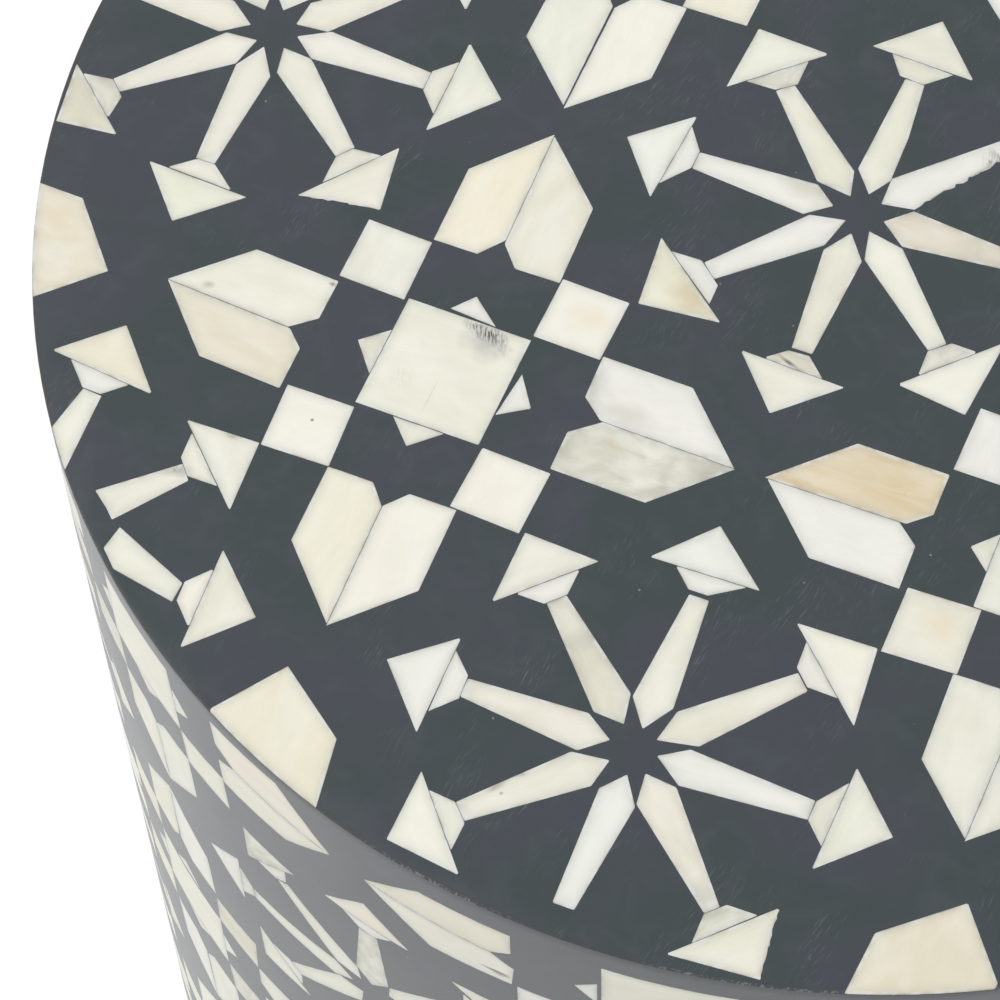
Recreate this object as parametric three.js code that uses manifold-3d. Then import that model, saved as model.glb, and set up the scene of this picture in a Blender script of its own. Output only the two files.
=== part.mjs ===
// A round drum stool whose top and wall are inlaid with bone tiles set in dark tinted resin.
// Units are millimetres, +Z is up, and the origin is on the floor under the middle of the stool.
//
// From the outside in, the drum is a skin of inlay, a bent plywood skin, and a carcass: a top board and
// a base board, uprights tenoned into both, and hoops notched round the uprights. Four glides screwed
// under the base board carry it. The pattern of the top is a square lattice of eight-armed rosettes with
// a star unit in the middle of each square, and one rosette sits at the centre of the disc.
import * as THREE from "three";
import { mergeGeometries, mergeVertices } from "three/addons/utils/BufferGeometryUtils.js";
import Module from "manifold-3d";

// Drum
const stoolDiameter = 380;
const drumHeight = 440;
const drumFacets = 96;
const carcassFacets = 48;

// Inlay: bone and resin are one thickness, ground flush
const inlayThickness = 3;
const glueBedThickness = 0.5;
const rimCover = 0.8; // resin left between a cut tile and the rim
const rimRounding = 1;
const rimSteps = 2;
const resinLine = 0.3; // resin left between two tiles that meet
const tileClearance = 0.1; // between a tile and its socket

// Carcass
const fitGap = 0.3; // between pieces that are seated on each other
const skinThickness = 5;
const seamWidth = 1;
const boardThickness = 18;
const uprightCount = 8;
const uprightWidth = 32;
const uprightDepth = 20;
const tenonWidth = 20;
const tenonDepth = 10;
const tenonLength = 9;
const hoopCount = 2;
const hoopWidth = 40;
const hoopThickness = 12;

// Glides and their screws
const glideCount = 4;
const glideDiameter = 30;
const glideHeight = 5;
const glideEdge = 0.8;
const glideInset = 24; // from the wall to the outside of a glide
const glideFacets = 24;
const screwFacets = 12;
const screwShankDiameter = 4;
const screwHeadDiameter = 8;
const screwHeadHeight = 1.6;
const screwHold = 12; // length of screw in the base board
const screwPoint = 4;
const screwRecess = 2.6; // depth of the pocket that the head sits in
const screwGap = 0.3;

// Pattern: the pitch of the lattice, how far its middle rosette lies off the middle of the disc, and
// the tiles as shares of the pitch
const patternPitch = 146.6;
const patternShiftX = -0.7;
const patternShiftY = 3.4;
const squareHalfShare = 0.1046; // big square, half its side
const checkShare = 0.1133; // small square at each corner of the big one
const dartShare = 0.0415; // small triangle on each side of the big square, half its base
const petalGapShare = 0.0614; // between the points of two petals
const petalPointShare = 0.1022; // length of a petal's point
const petalHalfWidthShare = 0.1065;
const petalNotchShare = 0.0413; // depth of the notch in its heel
const petalMouthShare = 0.0307; // half the width of the notch
const headGapShare = 0.0046; // between an arrow head and the petal beside it
const headShare = 0.0854; // arrow head, half its base and its height
const capShare = 0.033; // length of the cap behind an arrow head
const capWideShare = 0.052; // half its width at the head
const capNarrowShare = 0.0185; // half its width at the arm
const armEndShare = 0.0159; // half the arm's width at the cap
const armWideShare = 0.0331; // half the arm's width at its shoulder
const armPointShare = 0.04; // length of the arm's point
const armStartShare = 0.0398; // from the middle of the rosette to that point
const halfPitchShare = 0.5;

// What the rim leaves of a tile: a smaller rest than this share of it is not laid
const armRestShare = 0.2;
const headRestShare = 0.5;
const capRestShare = 0.3;
const starRestShare = 0.3;
const wholeShare = 0.999;
const shortestEdge = 0.4;

const armsPerRosette = 8;
const sidesPerStar = 4;
const cutOverrun = 2;
const weldDistance = 0.0001;

// Worked out from the sizes above
const outerRadius = stoolDiameter / 2;
const baseLevel = glideHeight;
const topLevel = baseLevel + drumHeight;
const resinLevel = topLevel - inlayThickness;
const bedLevel = resinLevel - glueBedThickness;
const boardLevel = bedLevel - boardThickness;
const floorLevel = baseLevel + boardThickness;
const tiledRadius = outerRadius - rimCover;
const wallInlayRadius = outerRadius - inlayThickness;
const skinRadius = wallInlayRadius - fitGap;
const skinInnerRadius = skinRadius - skinThickness;
const boardRadius = skinInnerRadius - fitGap;
const facetShare = Math.cos(Math.PI / drumFacets);
const uprightReach = Math.sqrt((boardRadius * facetShare) ** 2 - (uprightWidth / 2) ** 2);
const uprightAxis = uprightReach - uprightDepth / 2;
const glideAxis = outerRadius - glideInset - glideDiameter / 2;

const material = (color, roughness) => new THREE.MeshStandardMaterial({ color, roughness, metalness: 0 });
const resin = material(0x484f51, 0.35);
const bone = material(0xecead8, 0.4);
const inlay = material(0x9a9b93, 0.38);
const plywood = material(0xc9a877, 0.75);
const fibreboard = material(0xa98a63, 0.85);
const softwood = material(0xd9bd8c, 0.7);
const blackPaint = material(0x2a2a2b, 0.6);
const nylon = material(0x1d1d1f, 0.5);
const steel = new THREE.MeshStandardMaterial({ color: 0xb9bcc0, roughness: 0.35, metalness: 1 });

const wasm = await Module();
wasm.setup();

// Solids: three.js makes every shape, and these join and cut them

function solidFrom(geometry) {
  const bare = new THREE.BufferGeometry();
  bare.setAttribute("position", geometry.getAttribute("position"));
  bare.setIndex(geometry.getIndex());
  const merged = mergeVertices(bare, weldDistance);
  const corners = [];
  for (let i = 0; i < merged.index.count; i += 3) {
    const [a, b, c] = [0, 1, 2].map((step) => merged.index.getX(i + step));
    if (a !== b && b !== c && c !== a) corners.push(a, b, c);
  }
  const mesh = new wasm.Mesh({
    numProp: 3,
    vertProperties: new Float32Array(merged.getAttribute("position").array),
    triVerts: new Uint32Array(corners),
  });
  return new wasm.Manifold(mesh);
}

function geometryFrom(solid) {
  const mesh = solid.getMesh();
  const geometry = new THREE.BufferGeometry();
  geometry.setAttribute("position", new THREE.BufferAttribute(mesh.vertProperties, mesh.numProp));
  geometry.setIndex(new THREE.BufferAttribute(mesh.triVerts, 1));
  geometry.computeVertexNormals();
  return geometry;
}

// A profile of [radius, height] pairs, listed from the bottom up the outside, turned about Z
function revolved(profile, facets) {
  const points = profile.map(([radius, height]) => new THREE.Vector2(radius, height));
  return new THREE.LatheGeometry(points, facets).rotateX(Math.PI / 2);
}

const disc = (radius, bottom, top, facets) =>
  revolved([[0, bottom], [radius, bottom], [radius, top], [0, top]], facets);

const ring = (inner, outer, bottom, top, facets) =>
  revolved([[inner, bottom], [outer, bottom], [outer, top], [inner, top], [inner, bottom]], facets);

// A box by its size and the middle of it
function block(width, depth, height, x, y, z) {
  return new THREE.BoxGeometry(width, depth, height).translate(x, y, z);
}

// An outline in the XY plane raised from one level to another
function prism(outline, bottom, top) {
  const shape = new THREE.Shape(outline);
  const options = { depth: top - bottom, bevelEnabled: false };
  return new THREE.ExtrudeGeometry(shape, options).translate(0, 0, bottom);
}

const combined = (geometries) =>
  solidFrom(mergeGeometries(geometries.map((geometry) => positionsOf(geometry))));

function positionsOf(geometry) {
  const loose = geometry.index ? geometry.toNonIndexed() : geometry;
  const bare = new THREE.BufferGeometry();
  bare.setAttribute("position", loose.getAttribute("position"));
  return bare;
}

// Outlines: lists of points, anticlockwise and convex

const at = (x, y) => new THREE.Vector2(x, y);
const middle = at(0, 0);
const turned = (outline, angle) => outline.map((point) => point.clone().rotateAround(middle, angle));
const moved = (outline, shift) => outline.map((point) => point.clone().add(shift));
const mirrored = (outline) => outline.map((point) => at(point.x, -point.y)).reverse();
const area = (outline) => THREE.ShapeUtils.area(outline);

// The same outline with each edge moved inwards
function inset(outline, distance) {
  const edges = outline.map((start, i) => {
    const along = outline[(i + 1) % outline.length].clone().sub(start).normalize();
    const inward = at(-along.y, along.x);
    return { start: start.clone().addScaledVector(inward, distance), along };
  });
  return edges.map((edge, i) => {
    const before = edges[(i + edges.length - 1) % edges.length];
    const between = edge.start.clone().sub(before.start);
    const travel = between.cross(edge.along) / before.along.cross(edge.along);
    return before.start.clone().addScaledVector(before.along, travel);
  });
}

// The part of an outline inside a disc with the facets of the drum
function trimmedToDisc(outline, radius) {
  const step = (2 * Math.PI) / drumFacets;
  let rest = outline;
  for (let facet = 0; facet < drumFacets && rest.length > 0; facet += 1) {
    const outward = at(1, 0).rotateAround(middle, (facet + 0.5) * step);
    const room = (point) => radius * facetShare - point.dot(outward);
    rest = rest.flatMap((point, i) => {
      const next = rest[(i + 1) % rest.length];
      const crossing = room(point) * room(next) < 0;
      const cut = point.clone().lerp(next, room(point) / (room(point) - room(next)));
      return [...(room(point) >= 0 ? [point] : []), ...(crossing ? [cut] : [])];
    });
  }
  return rest.filter((point, i) => point.distanceTo(rest[(i + 1) % rest.length]) > shortestEdge);
}

// The socket of a tile: half a resin line inside its outline, and trimmed at the rim
const socketOutline = (outline) => trimmedToDisc(inset(outline, resinLine / 2), tiledRadius);

const restShare = (outline) => {
  const rest = socketOutline(outline);
  return rest.length < 3 ? 0 : area(rest) / area(inset(outline, resinLine / 2));
};

// Pattern units, each drawn about its own middle. A rosette's arrow heads reach almost to the petals
// beside it, and a petal's heel lines up with the outer corners of the checks beside that.

const onPitch = (share) => share * patternPitch;
const headTip = onPitch(halfPitchShare - petalHalfWidthShare - headGapShare);
const headBase = headTip - onPitch(headShare);
const armEnd = headBase - onPitch(capShare);
const squareHalf = onPitch(squareHalfShare);
const petalHeel = squareHalf + onPitch(checkShare);
const petalTip = onPitch(halfPitchShare - petalGapShare / 2);
const petalShoulder = petalTip - onPitch(petalPointShare);
const petalHalfWidth = onPitch(petalHalfWidthShare);

function rosetteArm() {
  const start = onPitch(armStartShare);
  const shoulder = start + onPitch(armPointShare);
  const wide = onPitch(armWideShare);
  const narrow = onPitch(armEndShare);
  return [at(start, 0), at(shoulder, -wide), at(armEnd, -narrow), at(armEnd, narrow), at(shoulder, wide)];
}

function rosetteCap() {
  const wide = onPitch(capWideShare);
  const narrow = onPitch(capNarrowShare);
  return [at(armEnd, -narrow), at(headBase, -wide), at(headBase, wide), at(armEnd, narrow)];
}

function rosetteHead() {
  const half = onPitch(headShare);
  return [at(headBase, -half), at(headTip, 0), at(headBase, half)];
}

function starSquare() {
  const half = squareHalf;
  return [at(half, half), at(-half, half), at(-half, -half), at(half, -half)];
}

function starCheck() {
  const [near, far] = [squareHalf, petalHeel];
  return [at(near, near), at(far, near), at(far, far), at(near, far)];
}

function starDart() {
  const half = onPitch(dartShare);
  return [at(squareHalf, -half), at(squareHalf + half, 0), at(squareHalf, half)];
}

function petalHalf() {
  const notch = petalHeel + onPitch(petalNotchShare);
  return [at(petalTip, 0), at(petalShoulder, petalHalfWidth), at(petalHeel, petalHalfWidth),
    at(petalHeel, onPitch(petalMouthShare)), at(notch, 0)];
}

// A petal that the rim cuts is laid in one piece
function petalWhole() {
  return [at(petalTip, 0), at(petalShoulder, petalHalfWidth), at(petalHeel, petalHalfWidth),
    at(petalHeel, -petalHalfWidth), at(petalShoulder, -petalHalfWidth)];
}

function rosetteTiles(centre) {
  const tiles = [];
  for (let arm = 0; arm < armsPerRosette; arm += 1) {
    const angle = (arm * 2 * Math.PI) / armsPerRosette;
    const [stem, cap, head] = [rosetteArm(), rosetteCap(), rosetteHead()]
      .map((outline) => moved(turned(outline, angle), centre));
    if (restShare(stem) > armRestShare) tiles.push(stem);
    if (restShare(head) > headRestShare) {
      tiles.push(head);
      if (restShare(cap) > capRestShare) tiles.push(cap);
    }
  }
  return tiles;
}

function starTiles(centre) {
  const tiles = [];
  const square = moved(starSquare(), centre);
  if (restShare(square) > starRestShare) tiles.push(square);
  for (let side = 0; side < sidesPerStar; side += 1) {
    const angle = (side * 2 * Math.PI) / sidesPerStar;
    const placed = (outline) => moved(turned(outline, angle), centre);
    const petal = placed(petalWhole());
    const small = [placed(starDart()), placed(starCheck())];
    tiles.push(...small.filter((outline) => restShare(outline) > starRestShare));
    if (restShare(petal) > wholeShare) tiles.push(placed(petalHalf()), placed(mirrored(petalHalf())));
    else if (restShare(petal) > starRestShare) tiles.push(petal);
  }
  return tiles;
}

// Every tile of the top, from a rosette at the middle outwards
function topTiles() {
  const reach = Math.ceil(outerRadius / patternPitch);
  const shift = at(patternShiftX, patternShiftY);
  const latticePoint = (column, row) => at(column, row).multiplyScalar(patternPitch).add(shift);
  const tiles = [];
  for (let column = -reach; column <= reach; column += 1) {
    for (let row = -reach; row <= reach; row += 1) {
      tiles.push(...rosetteTiles(latticePoint(column, row)));
      tiles.push(...starTiles(latticePoint(column + halfPitchShare, row + halfPitchShare)));
    }
  }
  return tiles;
}

// Inlay of the top: tiles on their glue bed, and the resin field cast round them

const sockets = topTiles().map(socketOutline);

function topBoneTiles() {
  const bed = solidFrom(disc(tiledRadius, bedLevel, resinLevel, drumFacets));
  const rooted = bedLevel + glueBedThickness / 2;
  const blanks = sockets.map((outline) => prism(inset(outline, tileClearance), rooted, topLevel));
  return bed.add(combined(blanks));
}

function topResin() {
  const lip = tiledRadius + fitGap;
  const profile = [[0, resinLevel], [lip, resinLevel], [lip, bedLevel], [outerRadius, bedLevel]];
  for (let step = 0; step <= rimSteps; step += 1) {
    const angle = (step / rimSteps) * (Math.PI / 2);
    const radius = outerRadius - rimRounding * (1 - Math.cos(angle));
    profile.push([radius, topLevel - rimRounding * (1 - Math.sin(angle))]);
  }
  profile.push([0, topLevel]);
  const field = solidFrom(revolved(profile, drumFacets));
  const cuts = sockets.map((outline) => prism(outline, bedLevel, topLevel + cutOverrun));
  return field.subtract(combined(cuts));
}

// Carcass

const mortise = (bottom, top) =>
  block(tenonDepth + 2 * fitGap, tenonWidth + 2 * fitGap, top - bottom, uprightAxis, 0, (bottom + top) / 2);

// Copies of a geometry turned about the drum's axis, the first one half a step round
function around(geometry, count) {
  return Array.from({ length: count }, (_, i) =>
    geometry.clone().rotateZ(((i + 0.5) * 2 * Math.PI) / count));
}

function topBoard() {
  const board = solidFrom(disc(boardRadius, boardLevel, bedLevel, carcassFacets));
  const cut = mortise(boardLevel - cutOverrun, boardLevel + tenonLength + fitGap);
  return board.subtract(combined(around(cut, uprightCount)));
}

function baseBoard() {
  const board = solidFrom(disc(boardRadius, baseLevel, floorLevel, carcassFacets));
  const cut = mortise(floorLevel - tenonLength - fitGap, floorLevel + cutOverrun);
  const pilotRadius = screwShankDiameter / 2 + screwGap;
  const pilotEnd = baseLevel + screwHold + screwGap;
  const pilot = disc(pilotRadius, baseLevel - cutOverrun, pilotEnd, screwFacets).translate(glideAxis, 0, 0);
  return board
    .subtract(combined(around(cut, uprightCount)))
    .subtract(combined(around(pilot, glideCount)));
}

function upright() {
  const span = boardLevel - floorLevel;
  const centre = (boardLevel + floorLevel) / 2;
  const post = solidFrom(block(uprightDepth, uprightWidth, span, uprightAxis, 0, centre));
  const tenons = block(tenonDepth, tenonWidth, span + 2 * tenonLength, uprightAxis, 0, centre);
  return post.add(solidFrom(tenons));
}

function hoop(level) {
  const [bottom, top] = [level - hoopThickness / 2, level + hoopThickness / 2];
  const band = solidFrom(ring(boardRadius - hoopWidth, boardRadius, bottom, top, carcassFacets));
  const notchStart = uprightReach - uprightDepth - fitGap;
  const notchEnd = boardRadius + cutOverrun;
  const notch = block(notchEnd - notchStart, uprightWidth + 2 * fitGap, hoopThickness + 2 * cutOverrun,
    (notchStart + notchEnd) / 2, 0, level);
  return band.subtract(combined(around(notch, uprightCount)));
}

// The bent sheet closes with a butt joint that runs down the middle of an upright
function wallSkin() {
  const tube = solidFrom(ring(skinInnerRadius, skinRadius, baseLevel, bedLevel, drumFacets));
  const seam = block(skinThickness + 2 * cutOverrun, seamWidth, drumHeight + 2 * cutOverrun,
    skinRadius - skinThickness / 2, 0, (baseLevel + bedLevel) / 2);
  return tube.subtract(combined(around(seam, uprightCount).slice(0, 1)));
}

const wallInlay = () => solidFrom(ring(wallInlayRadius, outerRadius, baseLevel, bedLevel, drumFacets));

// Glides and screws

function glide() {
  const bore = screwShankDiameter / 2 + screwGap;
  const pocket = screwHeadDiameter / 2 + screwGap;
  const outside = glideDiameter / 2;
  const profile = [[bore, screwRecess], [pocket, screwRecess], [pocket, 0], [outside - glideEdge, 0],
    [outside, glideEdge], [outside, glideHeight], [bore, glideHeight], [bore, screwRecess]];
  return solidFrom(revolved(profile, glideFacets));
}

// The head's upper face bears on the bottom of its pocket
function glideScrew() {
  const headTop = screwRecess;
  const headBottom = headTop - screwHeadHeight;
  const shank = screwShankDiameter / 2;
  const end = glideHeight + screwHold;
  return solidFrom(revolved([[0, headBottom], [screwHeadDiameter / 2, headBottom],
    [screwHeadDiameter / 2, headTop], [shank, headTop], [shank, end - screwPoint], [0, end]], screwFacets));
}

// The stool

const stool = new THREE.Group();

function place(name, solid, finish, parent = stool) {
  const mesh = new THREE.Mesh(geometryFrom(solid), finish);
  mesh.name = name;
  parent.add(mesh);
}

// A group turned about the drum's axis, half a step plus so many steps round
function turnedGroup(index, count) {
  const group = new THREE.Group();
  group.rotation.z = ((index + 0.5) * 2 * Math.PI) / count;
  stool.add(group);
  return group;
}

place("top_resin", topResin(), resin);
place("top_bone_tiles", topBoneTiles(), bone);
place("top_board", topBoard(), fibreboard);
place("wall_inlay", wallInlay(), inlay);
place("wall_skin", wallSkin(), plywood);
place("base_board", baseBoard(), blackPaint);

const hoopSpacing = (boardLevel - floorLevel) / (hoopCount + 1);
for (let i = 0; i < hoopCount; i += 1) {
  place(`hoop_${i + 1}`, hoop(floorLevel + (i + 1) * hoopSpacing), plywood);
}

for (let i = 0; i < uprightCount; i += 1) {
  place(`upright_${i + 1}`, upright(), softwood, turnedGroup(i, uprightCount));
}

for (let i = 0; i < glideCount; i += 1) {
  const seat = new THREE.Group();
  seat.position.x = glideAxis;
  turnedGroup(i, glideCount).add(seat);
  place(`glide_${i + 1}`, glide(), nylon, seat);
  place(`glide_screw_${i + 1}`, glideScrew(), steel, seat);
}

export default stool;
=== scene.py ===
"""A round drum stool inlaid with bone tiles in dark resin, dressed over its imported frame."""
import math
import random
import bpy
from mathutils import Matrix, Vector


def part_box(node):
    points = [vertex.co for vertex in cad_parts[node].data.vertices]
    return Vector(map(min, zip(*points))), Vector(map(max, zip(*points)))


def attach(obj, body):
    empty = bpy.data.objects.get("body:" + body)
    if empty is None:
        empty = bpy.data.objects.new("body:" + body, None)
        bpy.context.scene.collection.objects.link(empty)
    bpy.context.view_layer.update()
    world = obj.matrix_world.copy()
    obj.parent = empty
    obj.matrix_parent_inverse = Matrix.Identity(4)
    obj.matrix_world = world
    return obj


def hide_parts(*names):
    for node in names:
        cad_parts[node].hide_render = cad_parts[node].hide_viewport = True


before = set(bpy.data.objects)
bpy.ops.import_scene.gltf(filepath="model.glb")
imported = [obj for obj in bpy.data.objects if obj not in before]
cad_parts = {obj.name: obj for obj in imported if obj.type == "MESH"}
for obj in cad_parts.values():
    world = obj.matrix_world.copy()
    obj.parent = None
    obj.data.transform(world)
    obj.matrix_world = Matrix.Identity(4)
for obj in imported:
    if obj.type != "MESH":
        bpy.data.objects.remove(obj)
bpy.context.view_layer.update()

from types import SimpleNamespace

import bmesh
import bpy
from bpy.props import FloatProperty, FloatVectorProperty, IntProperty, PointerProperty
from mathutils import Matrix, Vector

bl_info = {
    "name": "Bone Inlay Drum Stool",
    "version": (1, 0, 0),
    "blender": (4, 5, 0),
    "location": "3D View > Sidebar > Drum Stool",
    "description": "Lays the inlay, casts the resin and finishes the carcass of a drum stool",
    "category": "Object",
}

MM = 0.001
FULL_TURN = 2 * math.pi

# A point nearer than this to a level lies on it
NEAR = 0.001 * MM

# Two corners of a tile nearer than this to each other are one
MERGED = 0.02 * MM

# How far a cutter stands out of what it cuts
OVERRUN = 2 * MM

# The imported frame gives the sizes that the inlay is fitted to
DRUM_RADIUS, _, TOP_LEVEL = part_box("top_resin")[1]
WALL_BOTTOM, WALL_TOP = (corner.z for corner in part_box("wall_inlay"))
GIRTH = FULL_TURN * DRUM_RADIUS
glide_low, glide_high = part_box("glide_1")
screw_low, screw_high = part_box("glide_screw_1")


# Properties


class DrumSizes(bpy.types.PropertyGroup):
    """Sizes of the drum's outside"""

    facets: IntProperty(
        name="Facets", description="Flat faces round the drum", default=192, min=48)
    rim_rounding: FloatProperty(
        name="Rim rounding", description="Radius of the sanded rim",
        default=0.4 * MM, unit="LENGTH")
    inlay_thickness: FloatProperty(
        name="Inlay thickness", description="Thickness of the bone and the resin",
        default=3 * MM, unit="LENGTH")


class InlayPattern(bpy.types.PropertyGroup):
    """Lattice of rosettes and stars, and how far the hand strays from it"""

    pitch: FloatProperty(
        name="Pitch", description="From one rosette to the next on the top",
        default=146.6 * MM, unit="LENGTH")
    shift: FloatVectorProperty(
        name="Shift", description="From the middle of the top to the rosette nearest to it",
        default=(-0.7 * MM, 3.4 * MM), size=2, unit="LENGTH")
    resin_line: FloatProperty(
        name="Resin line", description="Resin left between two tiles that meet",
        default=0.1 * MM, unit="LENGTH")
    rim_cover: FloatProperty(
        name="Rim cover", description="Resin left between a cut tile and the rim",
        default=0.1 * MM, unit="LENGTH")
    wall_columns: IntProperty(
        name="Wall columns", description="Stars round the wall", default=8, min=4)
    wall_turn: FloatProperty(
        name="Wall turn", description="Direction of the first column of stars",
        default=math.radians(7.6), subtype="ANGLE")
    wall_rows: IntProperty(
        name="Wall rows", description="Rows of stars up the wall", default=4, min=1)
    first_row: FloatProperty(
        name="First row", description="From the top down to the first row of stars",
        default=20.4 * MM, unit="LENGTH")
    row_pitch: FloatProperty(
        name="Row pitch", description="From one row of stars to the next",
        default=133.1 * MM, unit="LENGTH")
    wall_width: FloatProperty(
        name="Wall width share", description="Width of a wall tile against one of the top",
        default=0.97, subtype="FACTOR")
    wall_height: FloatProperty(
        name="Wall height share", description="Height of a wall tile against one of the top",
        default=0.91, subtype="FACTOR")
    stray_shift: FloatProperty(
        name="Stray shift", description="How far the tiles of an arm are laid off their place",
        default=0.5 * MM, unit="LENGTH")
    stray_turn: FloatProperty(
        name="Stray turn", description="How far a tile is turned off its line",
        default=math.radians(1.2), subtype="ANGLE")
    stray_corner: FloatProperty(
        name="Stray corner", description="How far the saw leaves a corner off its mark",
        default=0.25 * MM, unit="LENGTH")
    seed: IntProperty(name="Seed", description="Another hand lays the tiles", default=7)


class InlayColours(bpy.types.PropertyGroup):
    """Colours of the resin"""

    resin: FloatVectorProperty(
        name="Resin", description="Pigment of the resin", subtype="COLOR_GAMMA", size=3,
        default=(0x12 / 255, 0x27 / 255, 0x2B / 255))
    resin_drift: FloatVectorProperty(
        name="Resin drift", description="Where the pigment is richer", subtype="COLOR_GAMMA",
        size=3,
        default=(0x1F / 255, 0x29 / 255, 0x35 / 255))


class StudioSettings(bpy.types.PropertyGroup):
    """Camera and light"""

    camera: FloatVectorProperty(
        name="Camera", description="Where the camera stands", subtype="TRANSLATION", size=3,
        default=(0.12702, -0.49396, 1.20709))
    aim: FloatVectorProperty(
        name="Aim", description="Point in the middle of the picture", subtype="TRANSLATION",
        size=3,
        default=(-0.05001, -0.09676, 0.445))
    roll: FloatProperty(
        name="Roll", description="Lean of the camera to its right",
        default=math.radians(2.69), subtype="ANGLE")
    lens: FloatProperty(
        name="Lens", description="Focal length in millimetres on a 36 mm sensor", default=142.68)
    sky: FloatProperty(
        name="Sky", description="Strength of the light from all round", default=0.72)
    lamp: FloatProperty(
        name="Lamp", description="Power of the soft box in watts", default=14.0)


# Tools of the bench


def deselect():
    if bpy.context.object and bpy.context.object.mode != "OBJECT":
        bpy.ops.object.mode_set(mode="OBJECT")
    for piece in bpy.context.selected_objects:
        piece.select_set(False)


def take(piece):
    """Makes one object the only one that the operators work on, in object mode"""
    deselect()
    piece.select_set(True)
    bpy.context.view_layer.objects.active = piece
    return piece


def settled(piece):
    """Puts an object's place, turn and size into its mesh"""
    take(piece)
    bpy.ops.object.transform_apply(location=True, rotation=True, scale=True)
    return piece


def added(primitive, name, **settings):
    """A new primitive under that name, its place already in its mesh"""
    deselect()
    primitive(**settings)
    piece = bpy.context.object
    piece.name = piece.data.name = name
    return settled(piece)


def editing(piece):
    """Opens a mesh in edit mode with nothing selected"""
    take(piece)
    bpy.ops.object.mode_set(mode="EDIT")
    bpy.ops.mesh.select_all(action="DESELECT")
    return bmesh.from_edit_mesh(piece.data)


def pick(mesh, kind, wanted):
    """Selects the edges or the faces whose corners all pass the test"""
    bpy.ops.mesh.select_all(action="DESELECT")
    bpy.ops.mesh.select_mode(type={"edges": "EDGE", "faces": "FACE"}[kind])
    for part in getattr(mesh, kind):
        if all(wanted(corner.co) for corner in part.verts):
            part.select_set(True)
    mesh.select_flush_mode()


def rounded(piece, radius, segments, wanted):
    """Rounds the edges whose ends pass the test, and leaves the mesh open in edit mode"""
    mesh = editing(piece)
    pick(mesh, "edges", wanted)
    bpy.ops.mesh.bevel(offset=radius, segments=segments, affect="EDGES")
    return mesh


def modified(piece, kind, **settings):
    """Adds a modifier and applies it"""
    take(piece)
    bpy.ops.object.modifier_add(type=kind)
    modifier = piece.modifiers[-1]
    for key, value in settings.items():
        setattr(modifier, key, value)
    bpy.ops.object.modifier_apply(modifier=modifier.name)
    return piece


def smoothed(piece, degrees):
    take(piece)
    bpy.ops.object.shade_smooth_by_angle(angle=math.radians(degrees))


def object_from(mesh, name):
    """A new object from a bmesh, which is used up"""
    data = bpy.data.meshes.new(name)
    mesh.to_mesh(data)
    mesh.free()
    piece = bpy.data.objects.new(name, data)
    bpy.context.scene.collection.objects.link(piece)
    return piece


def discarded(piece):
    data = piece.data
    bpy.data.objects.remove(piece)
    bpy.data.meshes.remove(data)


def cut_away(piece, cutter):
    """Cuts one object out of another, and uses it up"""
    modified(piece, "BOOLEAN", operation="DIFFERENCE", object=cutter, solver="MANIFOLD")
    discarded(cutter)


def handed_over(piece, finish, carried):
    """Gives a finished piece its material and its body, and hides the imported node that it stands
    for
    """
    piece.data.materials.clear()
    piece.data.materials.append(finish)
    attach(piece, "root")
    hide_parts(carried)


def placed_round(model, finish, piece_name, node_name, count=4):
    """Copies a piece round the drum's axis, each copy with its own mesh and its own node"""
    for number in range(count):
        take(model)
        bpy.ops.object.duplicate(linked=False)
        piece = bpy.context.object
        piece.name = piece.data.name = f"{piece_name}_{number + 1}"
        piece.matrix_world = Matrix.Rotation(number * FULL_TURN / count, 4, "Z")
        settled(piece)
        handed_over(piece, finish, f"{node_name}_{number + 1}")
    discarded(model)


# Tile outlines: lists of points in the plane of the inlay, anticlockwise and convex


def pairs(outline):
    """Each point of an outline with the one after it"""
    return zip(outline, outline[1:] + outline[:1])


def sides(outline):
    """Start and outward direction of each side"""
    found = []
    for start, end in pairs(outline):
        along = (end - start).normalized()
        found.append((start, Vector((along.y, -along.x))))
    return found


def middle(outline):
    return sum(outline, Vector((0, 0))) / len(outline)


def area(outline):
    return sum(here.cross(after) for here, after in pairs(outline)) / 2


def sawn(outline, point, outward):
    """What a straight cut leaves of an outline, on the inner side of the cut"""
    rest = []
    for here, after in pairs(outline):
        room, next_room = (point - here).dot(outward), (point - after).dot(outward)
        if room >= 0:
            rest.append(here)
        if room * next_room < 0:
            rest.append(here.lerp(after, room / (room - next_room)))
    return rest


def clearances(outline, other):
    """How far each side of an outline lies inside another, with its start and outward direction"""
    return [(max((start - point).dot(outward) for point in other), start, outward)
            for start, outward in sides(outline)]


def fitted(outline, laid, line):
    """An outline cut back where it would run into a tile that is already laid"""
    depth, start, outward = min(clearances(laid, outline), key=lambda entry: entry[0])
    own = min(entry[0] for entry in clearances(outline, laid))
    if min(depth, own) <= -line:
        return outline
    return sawn(outline, start + outward * line, -outward)


def kept_corners(outline, least):
    """An outline without the corners that lie closer than that to the one before them"""
    corners = []
    for point in outline:
        if not corners or (point - corners[-1]).length > least:
            corners.append(point)
    if len(corners) > 3 and (corners[0] - corners[-1]).length <= least:
        corners.pop()
    return corners


def drawn_in(corners, width):
    """The same outline drawn in by that width, and the place on it that each corner comes to.
    A side that is too short for the width vanishes, and both its corners come to one place."""
    ring = corners
    for start, outward in sides(corners):
        ring = sawn(ring, start - outward * width, outward)
    ring = kept_corners(ring, MERGED)
    turned = [outward for _, outward in sides(corners)]
    places = []
    for corner, before, after in zip(corners, turned[-1:] + turned[:-1], turned):
        own = corner - (before + after) * width / (1 + before.dot(after))
        places.append(min(range(len(ring)), key=lambda index: (ring[index] - own).length))
    return ring, places


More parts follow.
